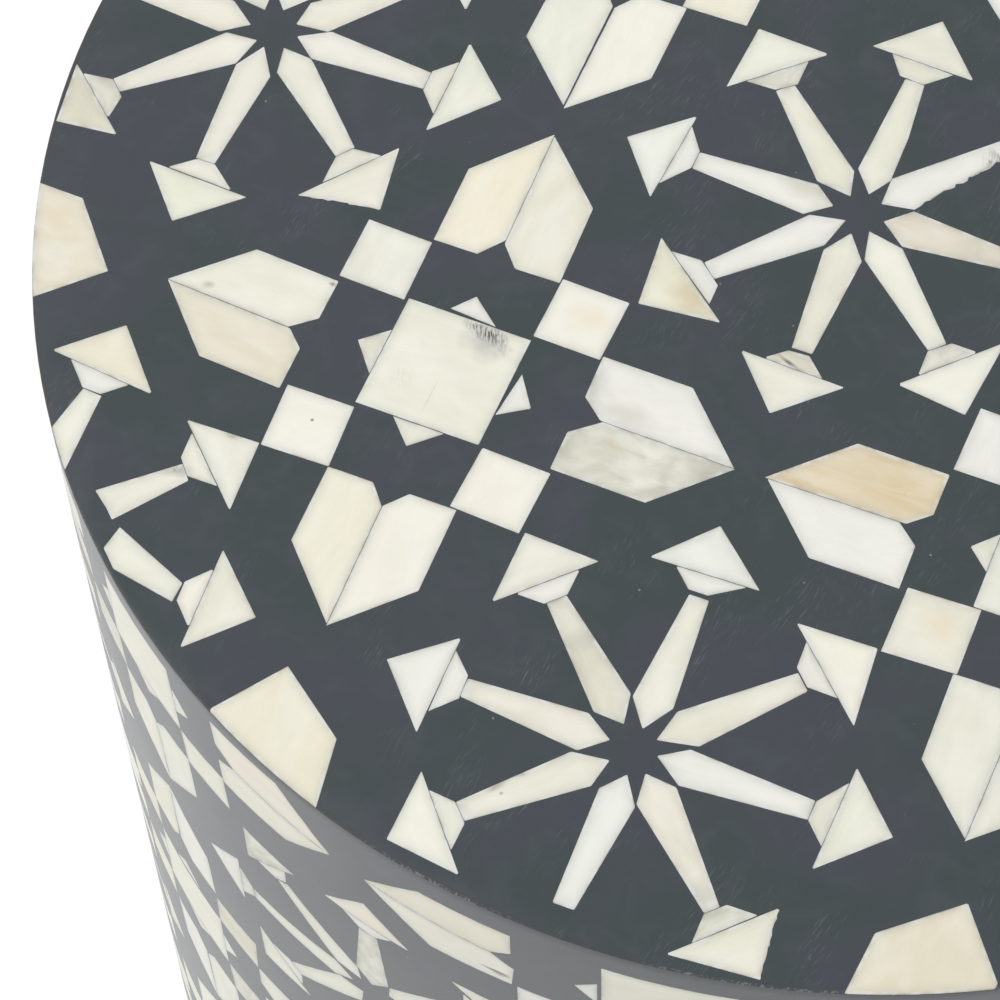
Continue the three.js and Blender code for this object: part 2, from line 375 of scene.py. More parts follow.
def blunted(corners, hand, most):
    """Two points for each corner, where a short cut knocks it off"""
    least_share, longest_share = 0.3, 0.4
    cuts = []
    for index, here in enumerate(corners):
        cut = hand.uniform(least_share, 1) * most[index % len(most)]
        ways = [corners[index - 1] - here, corners[(index + 1) % len(corners)] - here]
        cuts.append([here + way * min(cut / way.length, longest_share) for way in ways])
    return cuts


def ragged(start, end, hand, depth):
    """Points of a side that the saw has torn, each a little inside it"""
    tooth, off_share, depth_power = 1.1 * MM, 0.3, 1.5
    along = end - start
    inward = Vector((-along.y, along.x)).normalized()
    count = max(2, int(along.length / tooth))
    return [start + along * ((n + hand.uniform(-off_share, off_share)) / count)
            + inward * depth * hand.random() ** depth_power for n in range(1, count)]


def slip_of_bone(low, high, chains, back):
    """Saws one tile from a rectangular slip along chains of points, its sides kept back a little"""
    (left, lower), (right, upper) = low, high
    centre = ((left + right) / 2, (lower + upper) / 2, 0)
    slip = added(bpy.ops.mesh.primitive_plane_add, "slip", size=1, location=centre)
    editing(slip)
    bpy.ops.mesh.select_all(action="SELECT")
    size = (right - left - 2 * back, upper - lower - 2 * back, 1)
    bpy.ops.transform.resize(value=size, center_override=centre)
    for chain in chains:
        for start, end in zip(chain, chain[1:]):
            along = (Vector(end) - Vector(start)).normalized()
            outward = Vector((along.y, -along.x))
            through = Vector(start) - outward * back
            bpy.ops.mesh.select_all(action="SELECT")
            bpy.ops.mesh.bisect(
                plane_co=(*through, 0), plane_no=(*outward, 0), clear_outer=True)
    bpy.ops.object.mode_set(mode="OBJECT")
    face = slip.data.polygons[0]
    outline = [slip.data.vertices[index].co.xy.copy() for index in face.vertices]
    if face.normal.z < 0:
        outline.reverse()
    discarded(slip)
    # The tables of the tiles in view count from the leftmost corner, the lower one of two
    first = min(range(len(outline)), key=lambda index: outline[index].x + outline[index].y / 10)
    return outline[first:] + outline[:first]


def tile_patterns(pattern):
    """One outline of each kind of tile, drawn about the middle of its unit in shares of the pitch.
    A petal's heel lines up with the outer corners of the checks beside it."""
    pitch = pattern.pitch
    head_tip = (0.5 - 0.1065 - 0.0046) * pitch
    head_base = head_tip - 0.0854 * pitch
    arm_end = head_base - 0.033 * pitch
    arm_start, arm_shoulder = 0.0398 * pitch, 0.0798 * pitch
    arm_wide, arm_narrow = 0.0331 * pitch, 0.0159 * pitch
    cap_wide, cap_narrow, head_wide = 0.052 * pitch, 0.0185 * pitch, 0.0854 * pitch
    square, heel, dart = 0.1046 * pitch, 0.2179 * pitch, 0.0415 * pitch
    petal_tip, petal_shoulder, petal_wide = 0.4693 * pitch, 0.3671 * pitch, 0.1065 * pitch
    mouth, notch = 0.0307 * pitch, 0.2592 * pitch
    drawn = {
        "square": ((-square, -square), (square, square)),
        "check": ((square, square), (heel, heel)),
        "dart": ((square, -dart), (square + dart, dart),
                 ((square, -dart), (square + dart, 0), (square, dart))),
        "petal": ((heel, 0), (petal_tip, petal_wide),
                  ((petal_tip, 0), (petal_shoulder, petal_wide)), ((heel, mouth), (notch, 0))),
        "rim_petal": (
            (heel, -petal_wide), (petal_tip, petal_wide),
            ((petal_shoulder, -petal_wide), (petal_tip, 0), (petal_shoulder, petal_wide))),
        "head": ((head_base, -head_wide), (head_tip, head_wide),
                 ((head_base, -head_wide), (head_tip, 0), (head_base, head_wide))),
        "cap": ((arm_end, -cap_wide), (head_base, cap_wide),
                ((arm_end, -cap_narrow), (head_base, -cap_wide)),
                ((head_base, cap_wide), (arm_end, cap_narrow))),
        "arm": ((arm_start, -arm_wide), (arm_end, arm_wide),
                ((arm_start, 0), (arm_shoulder, -arm_wide), (arm_end, -arm_narrow)),
                ((arm_end, arm_narrow), (arm_shoulder, arm_wide), (arm_start, 0))),
    }
    return {kind: slip_of_bone(low, high, chains, pattern.resin_line / 2)
            for kind, (low, high, *chains) in drawn.items()}


# The tiles in plain view as the hand laid them: in each unit, kind by kind, one after the other
# round the unit, and the two halves of a petal one after the other. Each has its finish, unless it
# is ivory, and how far each of its corners lies off its place along x and y, in tenths of a
# millimetre. A tile without such numbers strays by a random draw.
TILES_IN_VIEW = {
    ("rosette", 0, 0): {
        "arm": "dun, white, 3 -1 -1 8 1 1 -1 1 4 0, cream 7 -4 -1 -10 1 -6 0 -7 -4 1, "
            "white -4 -1 1 -6 -8 7 -8 4 -4 1, white 18 13 10 5 9 11 12 8 2 5, "
            "cream 0 1 4 -6 -1 -2 2 -2 0 -6, pale -5 3 3 1 3 -1 3 -1 7 -8",
        "cap": ", , cream -5 -1 3 3 -2 13 -12 4, grey 7 -7 8 -2 -3 -2 1 -2, "
            "white -6 5 -1 17 -17 -10 -9 9, white 5 12 -2 10 23 13 25 -1, dun, "
            "grey 4 2 5 1 5 0 10 3",
        "head": ", , 3 2 5 17 -3 14, 13 -2 8 10 -6 0, white 2 0 -7 11 -21 -4, "
            "buff 0 3 13 -8 30 10, -5 1 -12 -9 -2 -10, pale 3 -2 -6 -25 19 14",
    },
    ("rosette", 0, -1): {
        "arm": "white -7 0 2 -1 6 -3 6 -1 -3 -8, cream -4 -7 11 4 4 -3 2 -1 7 -2, "
            "1 -10 -3 1 3 -4 3 -4 1 -2, dun 1 4 -4 3 -6 -2 -7 -3 5 1, "
            "cream 4 0 -3 -5 2 5 2 4 5 -1, cream 3 -4 -6 -7 -14 7 -12 6 -5 0, "
            "white 8 -5 12 2 -10 -1 -7 -1 3 -12, cream 2 -6 2 -5 8 -10 1 -17 0 -6",
        "cap": "cream 5 1 5 1 11 12 7 -6, white -4 8 -2 7 -3 6 -3 7, white -8 6 16 8 3 4 1 6, "
            "white -6 -4 -4 -3 -7 -3 -7 -5, white 1 7 -1 8 0 -1 3 3, -10 7 -5 12 -15 5 -10 6, , "
            "grey 10 -7 10 -11 10 -9 10 -9",
        "head": "2 -7 13 0 13 2, pale 17 -10 4 10 -5 6, white -3 9 -15 7 -9 3, "
            "-6 -5 -8 5 -13 -8, white 1 -10 -6 8 -3 -8, pale -1 14 -10 15 -11 -7, , "
            "cream 2 -18 29 -2 12 -10",
    },
    ("rosette", -1, 0): {
        "arm": "-5 4 -6 4 -4 -8 -4 -4 9 -2, cream, , grey, cream, 11 2 9 5 -8 1 -11 4 -2 -3, "
            "-8 8 -1 -5 -7 -5 -5 -5 -7 -9, -4 4 2 7 10 15 13 18 -4 4",
        "cap": "cream -4 -7 -3 -13 0 -3 -4 -3, , , , , grey -4 -3 -19 -14 -9 -10 -3 -4, "
            "cream 2 -5 -5 -3 10 -12 -8 -5, cream 13 18 13 7 6 19 4 15",
        "head": "-3 -16 7 5 0 7, , , , , dun -1 -26 23 -19 -3 -4, -4 -2 -10 -13 1 -15, "
            "6 -11 26 19 1 21",
    },
    ("rosette", -1, -1): {
        "arm": "142 39 126 47 1 -7 4 -2 96 52, 122 93 72 62 16 6 16 4 74 49, "
            "-10 -3 -9 -3 11 -2 10 2 -23 -8",
        "cap": "pale 8 4 12 1 7 5 6 -1, 0 11 5 12 3 12 5 12, white 3 1 8 2 3 15 11 3",
        "head": "cream 14 -3 15 0 4 5, 20 -1 13 6 12 3, buff 15 -7 9 17 2 20",
    },
    ("star", -0.5, -0.5): {
        "square": "-5 4 -10 -2 -1 -10 3 -3",
        "check": "pale -2 2 -3 -4 6 -3 6 4, -5 -12 -4 -10 1 -2 -4 -4, pale -1 -8 1 -7 6 -8 5 -6, "
            "pale 0 -4 -12 -4 -9 -14 1 -12",
        "dart": "white -5 -8 4 -25 12 -8, white 4 -6 -7 -5 9 4, dun 0 -3 -2 5 -3 -9, "
            "-4 1 -7 -1 0 -1",
        "petal": "white 0 2 -6 1 9 -9 0 0 0 6, grey -6 1 4 -5 11 -9 1 1 -4 -7, "
            "peach -4 -3 -1 -5 -3 3 0 -9 -2 -2, cream 1 -10 -1 -10 -3 -2 -1 -15 1 -10, "
            "straw -10 -18 8 -21 1 1 2 -7 -12 -21, 2 -21 10 -7 0 1 2 -20 -1 -19, "
            "pale 2 -6 2 5 2 -9 2 -7 4 -7, peach 6 -5 3 11 6 -8 6 -2 5 -7",
    },
    ("star", 0.5, -0.5): {
        "square": "",
        "check": ", white, cream 7 3 5 -1 1 -5 7 0, white",
        "dart": ", white, cream",
        "petal": ", , , , white -12 -6 -4 -6 -5 -6 -2 -7 -11 -9, tan 1 -9 3 -5 -13 -7 10 -7 0 -8",
    },
    ("star", -0.5, 0.5): {
        "square": "",
        "check": ", , , peach",
        "dart": "",
        "petal": ", , , , , , pale 1 0 -4 -4 -12 -13 -5 -9 2 -1",
    },
    ("star", -1.5, -0.5): {
        "rim_petal": "straw -35 -6 -33 -2 -46 -28 -35 -21 -35 -13",
    },
    ("star", -0.5, -1.5): {
        "rim_petal": ", buff 2 0 -25 -13 -36 -39 5 -42 5 0",
    },
    ("star", 0.5, -1.5): {
        "rim_petal": ", straw 2 0 2 -40 44 -41 41 -25 22 0",
    },
}

# The same for the wall, where a tile is found by its column and its row
TILES_ON_WALL = {
    ("star", 5, 0): {
        "petal": "0 0 0 0 -2 -5 -2 17 -6 5, 4 2 3 18 -2 -5 0 0 -7 6",
    },
    ("star", 6, 0): {
        "petal": ", , , , -47 -19 -46 -20 -66 -6 -44 -13 -54 -6, "
            "-53 -28 -63 -31 -66 -6 -46 -20 -53 -23",
        "check": ", , -20 -8 -42 -8 -42 -8 -20 -8",
        "dart": ", , -16 -28 -10 -18 -16 -24",
        "square": "-8 -21 -8 -21 -8 -21 -8 -21",
    },
}

# Sides of tiles on the top that the saw has torn: the side's number, and how deep
TORN_IN_VIEW = {
    ("rosette", 0, 0, "arm", 1): (1, 0.9 * MM),
    ("rosette", -1, 0, "head", 7): (0, 0.4 * MM),
    ("rosette", 0, -1, "head", 7): (1, 0.4 * MM),
}

# An arrow head and its cap that were never laid: resin fills their place
LEFT_OUT = {("rosette", 0, -1, "cap", 6), ("rosette", 0, -1, "head", 6)}

# How many tiles of each kind stand round the middle of a unit
KINDS = {
    "rosette": {"head": 8, "cap": 8, "arm": 8},
    "star": {"square": 1, "check": 4, "petal": 4, "rim_petal": 4, "dart": 4},
}

# The order in which tiles are laid: a later one is cut to fit those before it
LAYING_ORDER = ("square", "check", "head", "petal", "rim_petal", "cap", "arm", "dart")

# A tile cut at the rim is left out unless it keeps more than this share of itself
LEAST_SHARE = {"arm": 0.2, "head": 0.5, "cap": 0.3, "square": 0.3, "check": 0.3, "dart": 0.3,
               "rim_petal": 0.3}


def unit_tiles(unit, cell, spot, patterns, stretch=(1, 1)):
    """The tiles of a rosette or a star about its own middle"""
    tiles = []
    for kind, count in KINDS[unit].items():
        for step in range(count):
            angle = step * FULL_TURN / count
            turn = Matrix.Rotation(angle, 2)
            for half in ((1, -1) if kind == "petal" else (1,)):
                drawn = [turn @ Vector((p.x, p.y * half)) for p in patterns[kind]][::half]
                outline = [Vector((p.x * stretch[0], p.y * stretch[1])) + spot for p in drawn]
                place = step * 2 + (half < 0) if kind == "petal" else step
                across = math.pi / 2 if kind in ("head", "cap") else 0
                tiles.append(SimpleNamespace(
                    unit=unit, cell=cell, kind=kind, step=step, place=place, spot=spot,
                    angle=angle, grain=angle + across, outline=outline))
    return tiles


def top_candidates(pattern, patterns):
    reach = math.ceil(DRUM_RADIUS / pattern.pitch)
    tiles = []
    for column in range(-reach, reach + 1):
        for row in range(-reach, reach + 1):
            for unit, off in (("rosette", 0), ("star", 0.5)):
                cell = (column + off, row + off)
                spot = Vector(cell) * pattern.pitch + Vector(pattern.shift)
                tiles += unit_tiles(unit, cell, spot, patterns)
    return tiles


def trimmed_to_rim(outline, radius, facets):
    """An outline cut to the flat faces of the drum, if it comes near them"""
    clear_of_rim = 0.99 * radius
    if max(point.length for point in outline) < clear_of_rim:
        return outline
    flat = radius * math.cos(math.pi / facets)
    for facet in range(facets):
        angle = (facet + 0.5) * FULL_TURN / facets
        outward = Vector((math.cos(angle), math.sin(angle)))
        if outline and max(point.dot(outward) for point in outline) > flat:
            outline = sawn(outline, outward * flat, outward)
    return outline


def kept_on_top(tiles, sizes, pattern):
    """Leaves out the tiles of which the rim would leave too little.
    A petal is split in two halves where it is whole, and is one broad tile at the rim."""
    whole = 0.999
    radius = DRUM_RADIUS - pattern.rim_cover
    whole_petals, lost_heads = set(), set()
    for tile in tiles:
        rest = trimmed_to_rim(tile.outline, radius, sizes.facets)
        tile.share = area(rest) / area(tile.outline) if len(rest) > 2 else 0
        if tile.kind == "head" and tile.share <= LEAST_SHARE["head"]:
            lost_heads.add((tile.cell, tile.step))
        if tile.kind == "rim_petal" and tile.share > whole:
            whole_petals.add((tile.cell, tile.step))
    kept = []
    for tile in tiles:
        beside = (tile.cell, tile.step)
        if tile.kind == "petal":
            good = beside in whole_petals
        else:
            good = tile.share > LEAST_SHARE[tile.kind]
            good = good and not (tile.kind == "rim_petal" and beside in whole_petals)
            good = good and not (tile.kind == "cap" and beside in lost_heads)
        if good and (tile.unit, *tile.cell, tile.kind, tile.place) not in LEFT_OUT:
            kept.append(tile)
    return kept


def wall_candidates(pattern, patterns):
    """Tiles of the wall, unrolled: x runs round the drum and y is the height"""
    stretch = (pattern.wall_width, pattern.wall_height)
    column_pitch = GIRTH / pattern.wall_columns
    start = pattern.wall_turn * DRUM_RADIUS
    top_row = TOP_LEVEL - pattern.first_row
    tiles = []
    for column in range(pattern.wall_columns):
        for row in range(pattern.wall_rows):
            spot = Vector((start + column * column_pitch, top_row - row * pattern.row_pitch))
            tiles += unit_tiles("star", (column, row), spot, patterns, stretch)
            if row < pattern.wall_rows - 1:
                half = Vector((column_pitch / 2, -pattern.row_pitch / 2))
                tiles += unit_tiles("rosette", (column, row), spot + half, patterns, stretch)
    margin = 3 * MM
    return [tile for tile in tiles if tile.kind != "rim_petal"
            and max(p.y for p in tile.outline) < TOP_LEVEL - margin
            and min(p.y for p in tile.outline) > WALL_BOTTOM + margin]


def seen_of(tile, in_view):
    """The finish of a tile in view and how far its corners stray, as far as its table says"""
    kinds = in_view.get((tile.unit, *tile.cell), {})
    if tile.kind not in kinds:
        return None, []
    words = dict(enumerate(kinds[tile.kind].split(","))).get(tile.place, "").split()
    finish = words.pop(0) if words and words[0].isalpha() else "ivory"
    return finish, [Vector((int(x), int(y))) * 0.1 * MM for x, y in zip(words[::2], words[1::2])]


def strayed(tile, in_view, pattern, seed):
    """A tile's outline as it was laid: as seen, or else off its place, first with its whole arm"""
    _, strays = seen_of(tile, in_view)
    if strays:
        return [point + stray for point, stray in zip(tile.outline, strays)]
    arm = random.Random(f"{seed} {tile.unit} {tile.cell} {tile.step}")
    arm_turn = Matrix.Rotation(arm.gauss(0, pattern.stray_turn), 2)
    slide = Matrix.Rotation(tile.angle, 2) @ Vector((arm.gauss(0, pattern.stray_shift), 0))
    turn = Matrix.Rotation(tile.hand.gauss(0, pattern.stray_turn / 2), 2)
    centre = middle(tile.outline)
    outline = []
    for point in tile.outline:
        stray = Vector((tile.hand.gauss(0, 1), tile.hand.gauss(0, 1))) * pattern.stray_corner
        own = centre + turn @ (point - centre) + stray
        outline.append(tile.spot + arm_turn @ (own - tile.spot) + slide)
    return outline


def laid_by_hand(tiles, in_view, pattern, seed, period=0):
    """Lays each tile as the hand does, then cuts it to fit its neighbours.
    One that would lose too much to them isn't laid. The period is that of an unrolled wall."""
    least_left, seed_step = 0.4, 10007
    laid = []
    for number, tile in enumerate(sorted(tiles, key=lambda tile: LAYING_ORDER.index(tile.kind))):
        tile.hand = random.Random(seed * seed_step + number)
        drawn = area(tile.outline)
        outline = strayed(tile, in_view, pattern, seed)
        centre = middle(outline)
        size = max((point - centre).length for point in outline)
        for other in laid:
            apart = centre - other.centre
            around = round(apart.x / period) * period if period else 0
            if Vector((apart.x - around, apart.y)).length > size + other.size:
                continue
            neighbour = [point + Vector((around, 0)) for point in other.outline]
            outline = fitted(outline, neighbour, pattern.resin_line)
            if len(outline) < 3:
                break
        if len(outline) > 2 and area(outline) >= drawn * least_left:
            tile.outline, tile.centre, tile.size = outline, centre, size
            laid.append(tile)
    return laid


def finished_outlines(tiles, sizes, pattern, on_top):
    """Cuts the tiles at the rim, blunts their corners and tears some of their sides"""
    slight, light, heavy, shortest = 0.2 * MM, 0.3 * MM, 0.8 * MM, 0.5 * MM
    bluntness = {("cap", 4): (slight, heavy, heavy, slight), ("head", 3): (heavy, light, heavy)}
    for tile in tiles:
        if on_top:
            radius = DRUM_RADIUS - pattern.rim_cover
            tile.outline = trimmed_to_rim(tile.outline, radius, sizes.facets)
        tile.corners = kept_corners(tile.outline, shortest)
        most = bluntness.get((tile.kind, len(tile.corners)), (light,))
        tile.cuts = blunted(tile.corners, tile.hand, most)
        tile.torn = [[] for _ in tile.corners]
        name = (tile.unit, *tile.cell, tile.kind, tile.place)
        if on_top and name in TORN_IN_VIEW:
            side, depth = TORN_IN_VIEW[name]
            after = tile.cuts[(side + 1) % len(tile.cuts)]
            tile.torn[side] = ragged(tile.cuts[side][1], after[0], tile.hand, depth)
        tile.outline = [point for cut, torn in zip(tile.cuts, tile.torn) for point in cut + torn]
    return tiles


def inlay_of(stool, on_top):
    """The tiles of the top or of the wall as they are laid, the same for the same settings"""
    pattern, sizes = stool.pattern, stool.sizes
    patterns = tile_patterns(pattern)
    if on_top:
        tiles = kept_on_top(top_candidates(pattern, patterns), sizes, pattern)
        laid = laid_by_hand(tiles, TILES_IN_VIEW, pattern, pattern.seed)
    else:
        tiles = wall_candidates(pattern, patterns)
        laid = laid_by_hand(tiles, TILES_ON_WALL, pattern, pattern.seed + 1, GIRTH)
    return finished_outlines(laid, sizes, pattern, on_top)


# Tiles as solid pieces


def bent_round(piece, facets):
    """Bends a piece round the flat faces of the drum: x was laid out round it, y was the height
    and z the way out"""
    step = FULL_TURN / facets
    for vert in piece.data.vertices:
        angle = vert.co.x / DRUM_RADIUS
        off = angle % step - step / 2
        radius = (DRUM_RADIUS + vert.co.z) * math.cos(step / 2) / math.cos(off)
        vert.co = (radius * math.cos(angle), radius * math.sin(angle), vert.co.y)
    piece.data.update()


# Finishes of bone: colour, how often it is met, then how cloudy, how stained and how pitted it is
BONES = {
    "ivory": ("F4F3E3", 6, 0.25, 0.0, 0.0),
    "white": ("F7F6ED", 3, 0.2, 0.0, 0.0),
    "pale": ("FBF9EA", 2, 0.1, 0.02, 0.0),
    "cream": ("F3F1DF", 4, 0.3, 0.05, 0.1),
    "peach": ("F8F3DF", 1, 0.1, 0.08, 0.0),
    "buff": ("F3EDD7", 1, 0.15, 0.05, 0.05),
    "dun": ("E7E3D0", 0.7, 0.5, 0.1, 0.2),
    "grey": ("EAE9DB", 1, 1.0, 0.1, 0.2),
    "tan": ("E9DBB9", 0.4, 0.3, 0.9, 0.3),
    "straw": ("ECE6D0", 0, 0.2, 0.08, 0.0),
}


def linear(channel):
    return channel / 12.92 if channel <= 0.04045 else ((channel + 0.055) / 1.055) ** 2.4


def colour(tone):
    """A linear colour from its sRGB hex digits, or from a colour among the properties"""
    if isinstance(tone, str):
        tone = [int(tone[i:i + 2], 16) / 255 for i in (0, 2, 4)]
    return [linear(channel) for channel in tone] + [1]


def finish_of(tile, on_top):
    """The named finish of a tile in plain view, or one drawn by its own hand"""
    name, _ = seen_of(tile, TILES_IN_VIEW if on_top else {})
    if name:
        return BONES[name]
    return tile.hand.choices(list(BONES.values()), [entry[1] for entry in BONES.values()])[0]


def tile_faces(tiles, on_top):
    """Flat faces of the tiles, each with a border of its own. Depth is how far in from the edge,
    in millimetres. The slip map gives each tile a stretch of bone, in centimetres, with the grain
    along x."""
    border_width, border_share, slip_length, tone_spread = 2.8 * MM, 0.8, 90, 0.008
    centimetres = 100
    mesh = bmesh.new()
    slip = mesh.loops.layers.uv.new("slip")
    depth = mesh.verts.layers.float.new("depth")
    tint = mesh.verts.layers.float_color.new("tint")
    marks = mesh.verts.layers.float_color.new("marks")

    def stand(points):
        return [mesh.verts.new((*point, 0)) for point in points]

    for tile in tiles:
        centre = middle(tile.corners)
        reach = min((start - centre).dot(outward) for start, outward in sides(tile.corners))
        border = min(border_width, reach * border_share)
        points, places = drawn_in(tile.corners, border)
        ring = stand(points)
        inner = [ring[place] for place in places]
        cuts = [stand(cut) for cut in tile.cuts]
        torn = [stand(side) for side in tile.torn]
        faces = [mesh.faces.new(ring)]
        for i in range(len(inner)):
            after = (i + 1) % len(inner)
            faces.append(mesh.faces.new((*cuts[i], inner[i])))
            side = (cuts[i][1], *torn[i], cuts[after][0], inner[after], inner[i])
            faces.append(mesh.faces.new(dict.fromkeys(side)))
        code, _, *look = finish_of(tile, on_top)
        shade = [channel * tile.hand.gauss(1, tone_spread) for channel in colour(code)[:3]]
        for vert in ring + sum(cuts + torn, []):
            vert[tint] = (*shade, 1)
            vert[marks] = (*look, 1)
            vert[depth] = border / MM if vert in ring else 0.0
        turn = Matrix.Rotation(-tile.grain, 2)
        spot = Vector((tile.hand.uniform(0, slip_length), tile.hand.uniform(0, slip_length)))
        for face in faces:
            for loop in face.loops:
                loop[slip].uv = turn @ (loop.vert.co.xy - centre) * centimetres + spot
    return mesh


def folded(outline, flat):
    """An outline with a further point wherever it crosses the fold between two faces of the drum"""
    end_share = 0.001
    points = []
    for here, after in pairs(outline):
        low, high = sorted((here.x / flat, after.x / flat))
        shares = sorted((fold * flat - here.x) / (after.x - here.x)
                        for fold in range(math.ceil(low), math.floor(high) + 1))
        points += [here] + [here.lerp(after, share) for share in shares
                            if end_share < share < 1 - end_share]
    return points


def prisms(outlines, low, high):
    """Blanks that sink one socket for each tile, between two levels"""
    mesh = bmesh.new()
    for outline in outlines:
        under = [mesh.verts.new((*point, low)) for point in outline]
        over = [mesh.verts.new((*point, high)) for point in outline]
        mesh.faces.new(under[::-1])
        mesh.faces.new(over)
        for i in range(len(under)):
            mesh.faces.new((under[i - 1], under[i], over[i], over[i - 1]))
    return object_from(mesh, "sockets")


# Materials


def node(tree, kind, inputs=None, stops=(), **settings):
    """Adds a node with its settings and links. An input is a value, a socket, or a node for its
    first output. Stops are the positions and grey levels of a colour ramp."""
    new = tree.nodes.new("ShaderNode" + kind)
    for key, value in settings.items():
        setattr(new, key, value)
    for key, value in (inputs or {}).items():
        source = value.outputs[0] if isinstance(value, bpy.types.Node) else value
        if isinstance(source, bpy.types.NodeSocket):
            tree.links.new(source, new.inputs[key])
        else:
            new.inputs[key].default_value = source
    if stops:
        elements = new.color_ramp.elements
        while len(elements) < len(stops):
            elements.new(0.5)
        for element, (position, level) in zip(elements, stops):
            element.position = position
            element.color = (level, level, level, 1)
    return new


def material(name, **shader):
    """A material with only its surface shader, whose even values are set on its own sockets"""
    new = bpy.data.materials.new(name)
    new.use_nodes = True
    tree = new.node_tree
    surface = tree.nodes["Principled BSDF"]
    for key, value in shader.items():
        surface.inputs[key.replace("_", " ")].default_value = value
    return new, tree, surface


def grain(tree, place, waves, detail, distortion=0.0, stretch=(1, 1, 1), location=(0, 0, 0)):
    """Noise with that many waves in a unit of the place, drawn out along its axes"""
    drawn = node(tree, "Mapping", {0: place, "Scale": stretch, "Location": location})
    return node(tree, "TexNoise", {
        "Vector": drawn, "Scale": waves, "Detail": detail, "Distortion": distortion})


def layered(tree, whole, *layers, blend="MIX"):
    """Lays tones over the whole. Each has its pattern, the stops that say how far it shows on
    that, and what else its share is multiplied by."""
    for tone, pattern, stops, *strengths in layers:
        share = node(tree, "ValToRGB", {0: pattern}, stops)
        for strength in strengths:
            share = node(tree, "Math", {0: share, 1: strength}, operation="MULTIPLY")
        whole = node(tree, "Mix", {0: share, 6: whole, 7: colour(tone)},
                     data_type="RGBA", blend_type=blend).outputs[2]
    return whole


def surfaced(tree, surface, whole, roughness=None, relief=None, strength=0.0, distance=0.0):
    """Leads the colour, the roughness and the relief to the shader"""
    leads = {"Base Color": whole}
    if roughness:
        leads["Roughness"] = roughness.outputs[0]
    if relief:
        leads["Normal"] = node(tree, "Bump", {
            "Strength": strength, "Distance": distance, "Height": relief}).outputs[0]
    for key, source in leads.items():
        tree.links.new(source, surface.inputs[key])


# Flaws of single tiles in plain view: middle in millimetres, turn in degrees, half length and half
# width in millimetres, colour, strength, and whether open pores break it up into dashes
FLAWS_ON_TOP = (
    (-68.5, -59.8, -8, 7.5, 6, "B4B3B4", 0.6, 0), (-68.9, -57.2, -14, 6.4, 2.7, "454043", 0.95, 1),
    (-65, -59.8, -14, 4.5, 3, "8F8D8E", 0.35, 1), (-74.7, -77.5, 88, 6, 0.3, "A9A698", 0.25, 0),
    (-82.8, -75, 20, 4, 4, "C3B8A4", 0.2, 1), (-133.3, -67.7, 10, 2.0, 1.3, "B3A88C", 0.6, 0),
    (-97, -92.6, 0, 0.45, 0.45, "4A4038", 0.9, 0), (-106.5, -57.6, 0, 1.4, 0.7, "6E6152", 0.8, 0),
    (-2, -40.6, -22, 4.2, 0.75, "3A2C22", 0.9, 0), (-29, -32, -30, 8, 4.5, "D3C19C", 0.6, 0),
    (-41.5, -62, 75, 7, 4.5, "CBCAC2", 0.6, 0), (-33, -66, 0, 10, 4, "D6D4C9", 0.6, 0),
    (-8.5, -74.8, -12, 8, 4, "B4B4A4", 0.5, 0), (-18.5, -82.3, 30, 5, 2.4, "B2B09A", 0.5, 0),
    (-31.7, -74.6, -30, 4, 1.5, "DCC8A6", 0.35, 1), (-12.2, 5.6, 0, 12, 4.5, "DAD8C8", 0.75, 0),
    (-13, 7.9, -3, 7, 0.9, "8C887E", 0.6, 0), (-120.1, -114.8, 20, 2.2, 1.3, "6B655E", 1.0, 1),
    (-120.2, -115.6, 20, 4.5, 2.0, "A8A69C", 0.5, 0),
    (-20.5, -122.9, 45, 7, 3.5, "C4C8BC", 0.5, 0), (24.1, -169.8, -45, 5, 3.5, "BDBDB0", 0.4, 0),
    (23.8, 28.3, 45, 3.5, 3.5, "5A5048", 0.7, 1), (-48.3, -45.7, 0, 7, 5, "F4E8CE", 0.6, 0),
    (50.7, -91.7, 0, 6, 5, "F0E2C4", 0.6, 0), (-112.4, -103.0, 0, 1.8, 0.8, "A39A8C", 0.6, 0),
    (-173, -64, -20, 10, 4, "E8D6B4", 0.45, 0), (-25.2, -162.5, 45, 2.8, 1.1, "9E9A8A", 0.6, 0),
    (-21.0, -157.1, 45, 3.2, 1.1, "9E9A8A", 0.55, 0),
    (-23.3, -163.3, 0, 0.5, 0.5, "8F887A", 0.6, 0), (-7.2, -72.2, 0, 8, 4, "B9B6A6", 0.5, 0),
)
FLAWS_ON_WALL = (
    (-15, -189.4, 413.4, -8, 3.9, 0.8, "2F2823", 1.0, 0),
    (-14, -189.4, 412.9, -8, 3.4, 1.5, "8E867A", 0.7, 0),
)


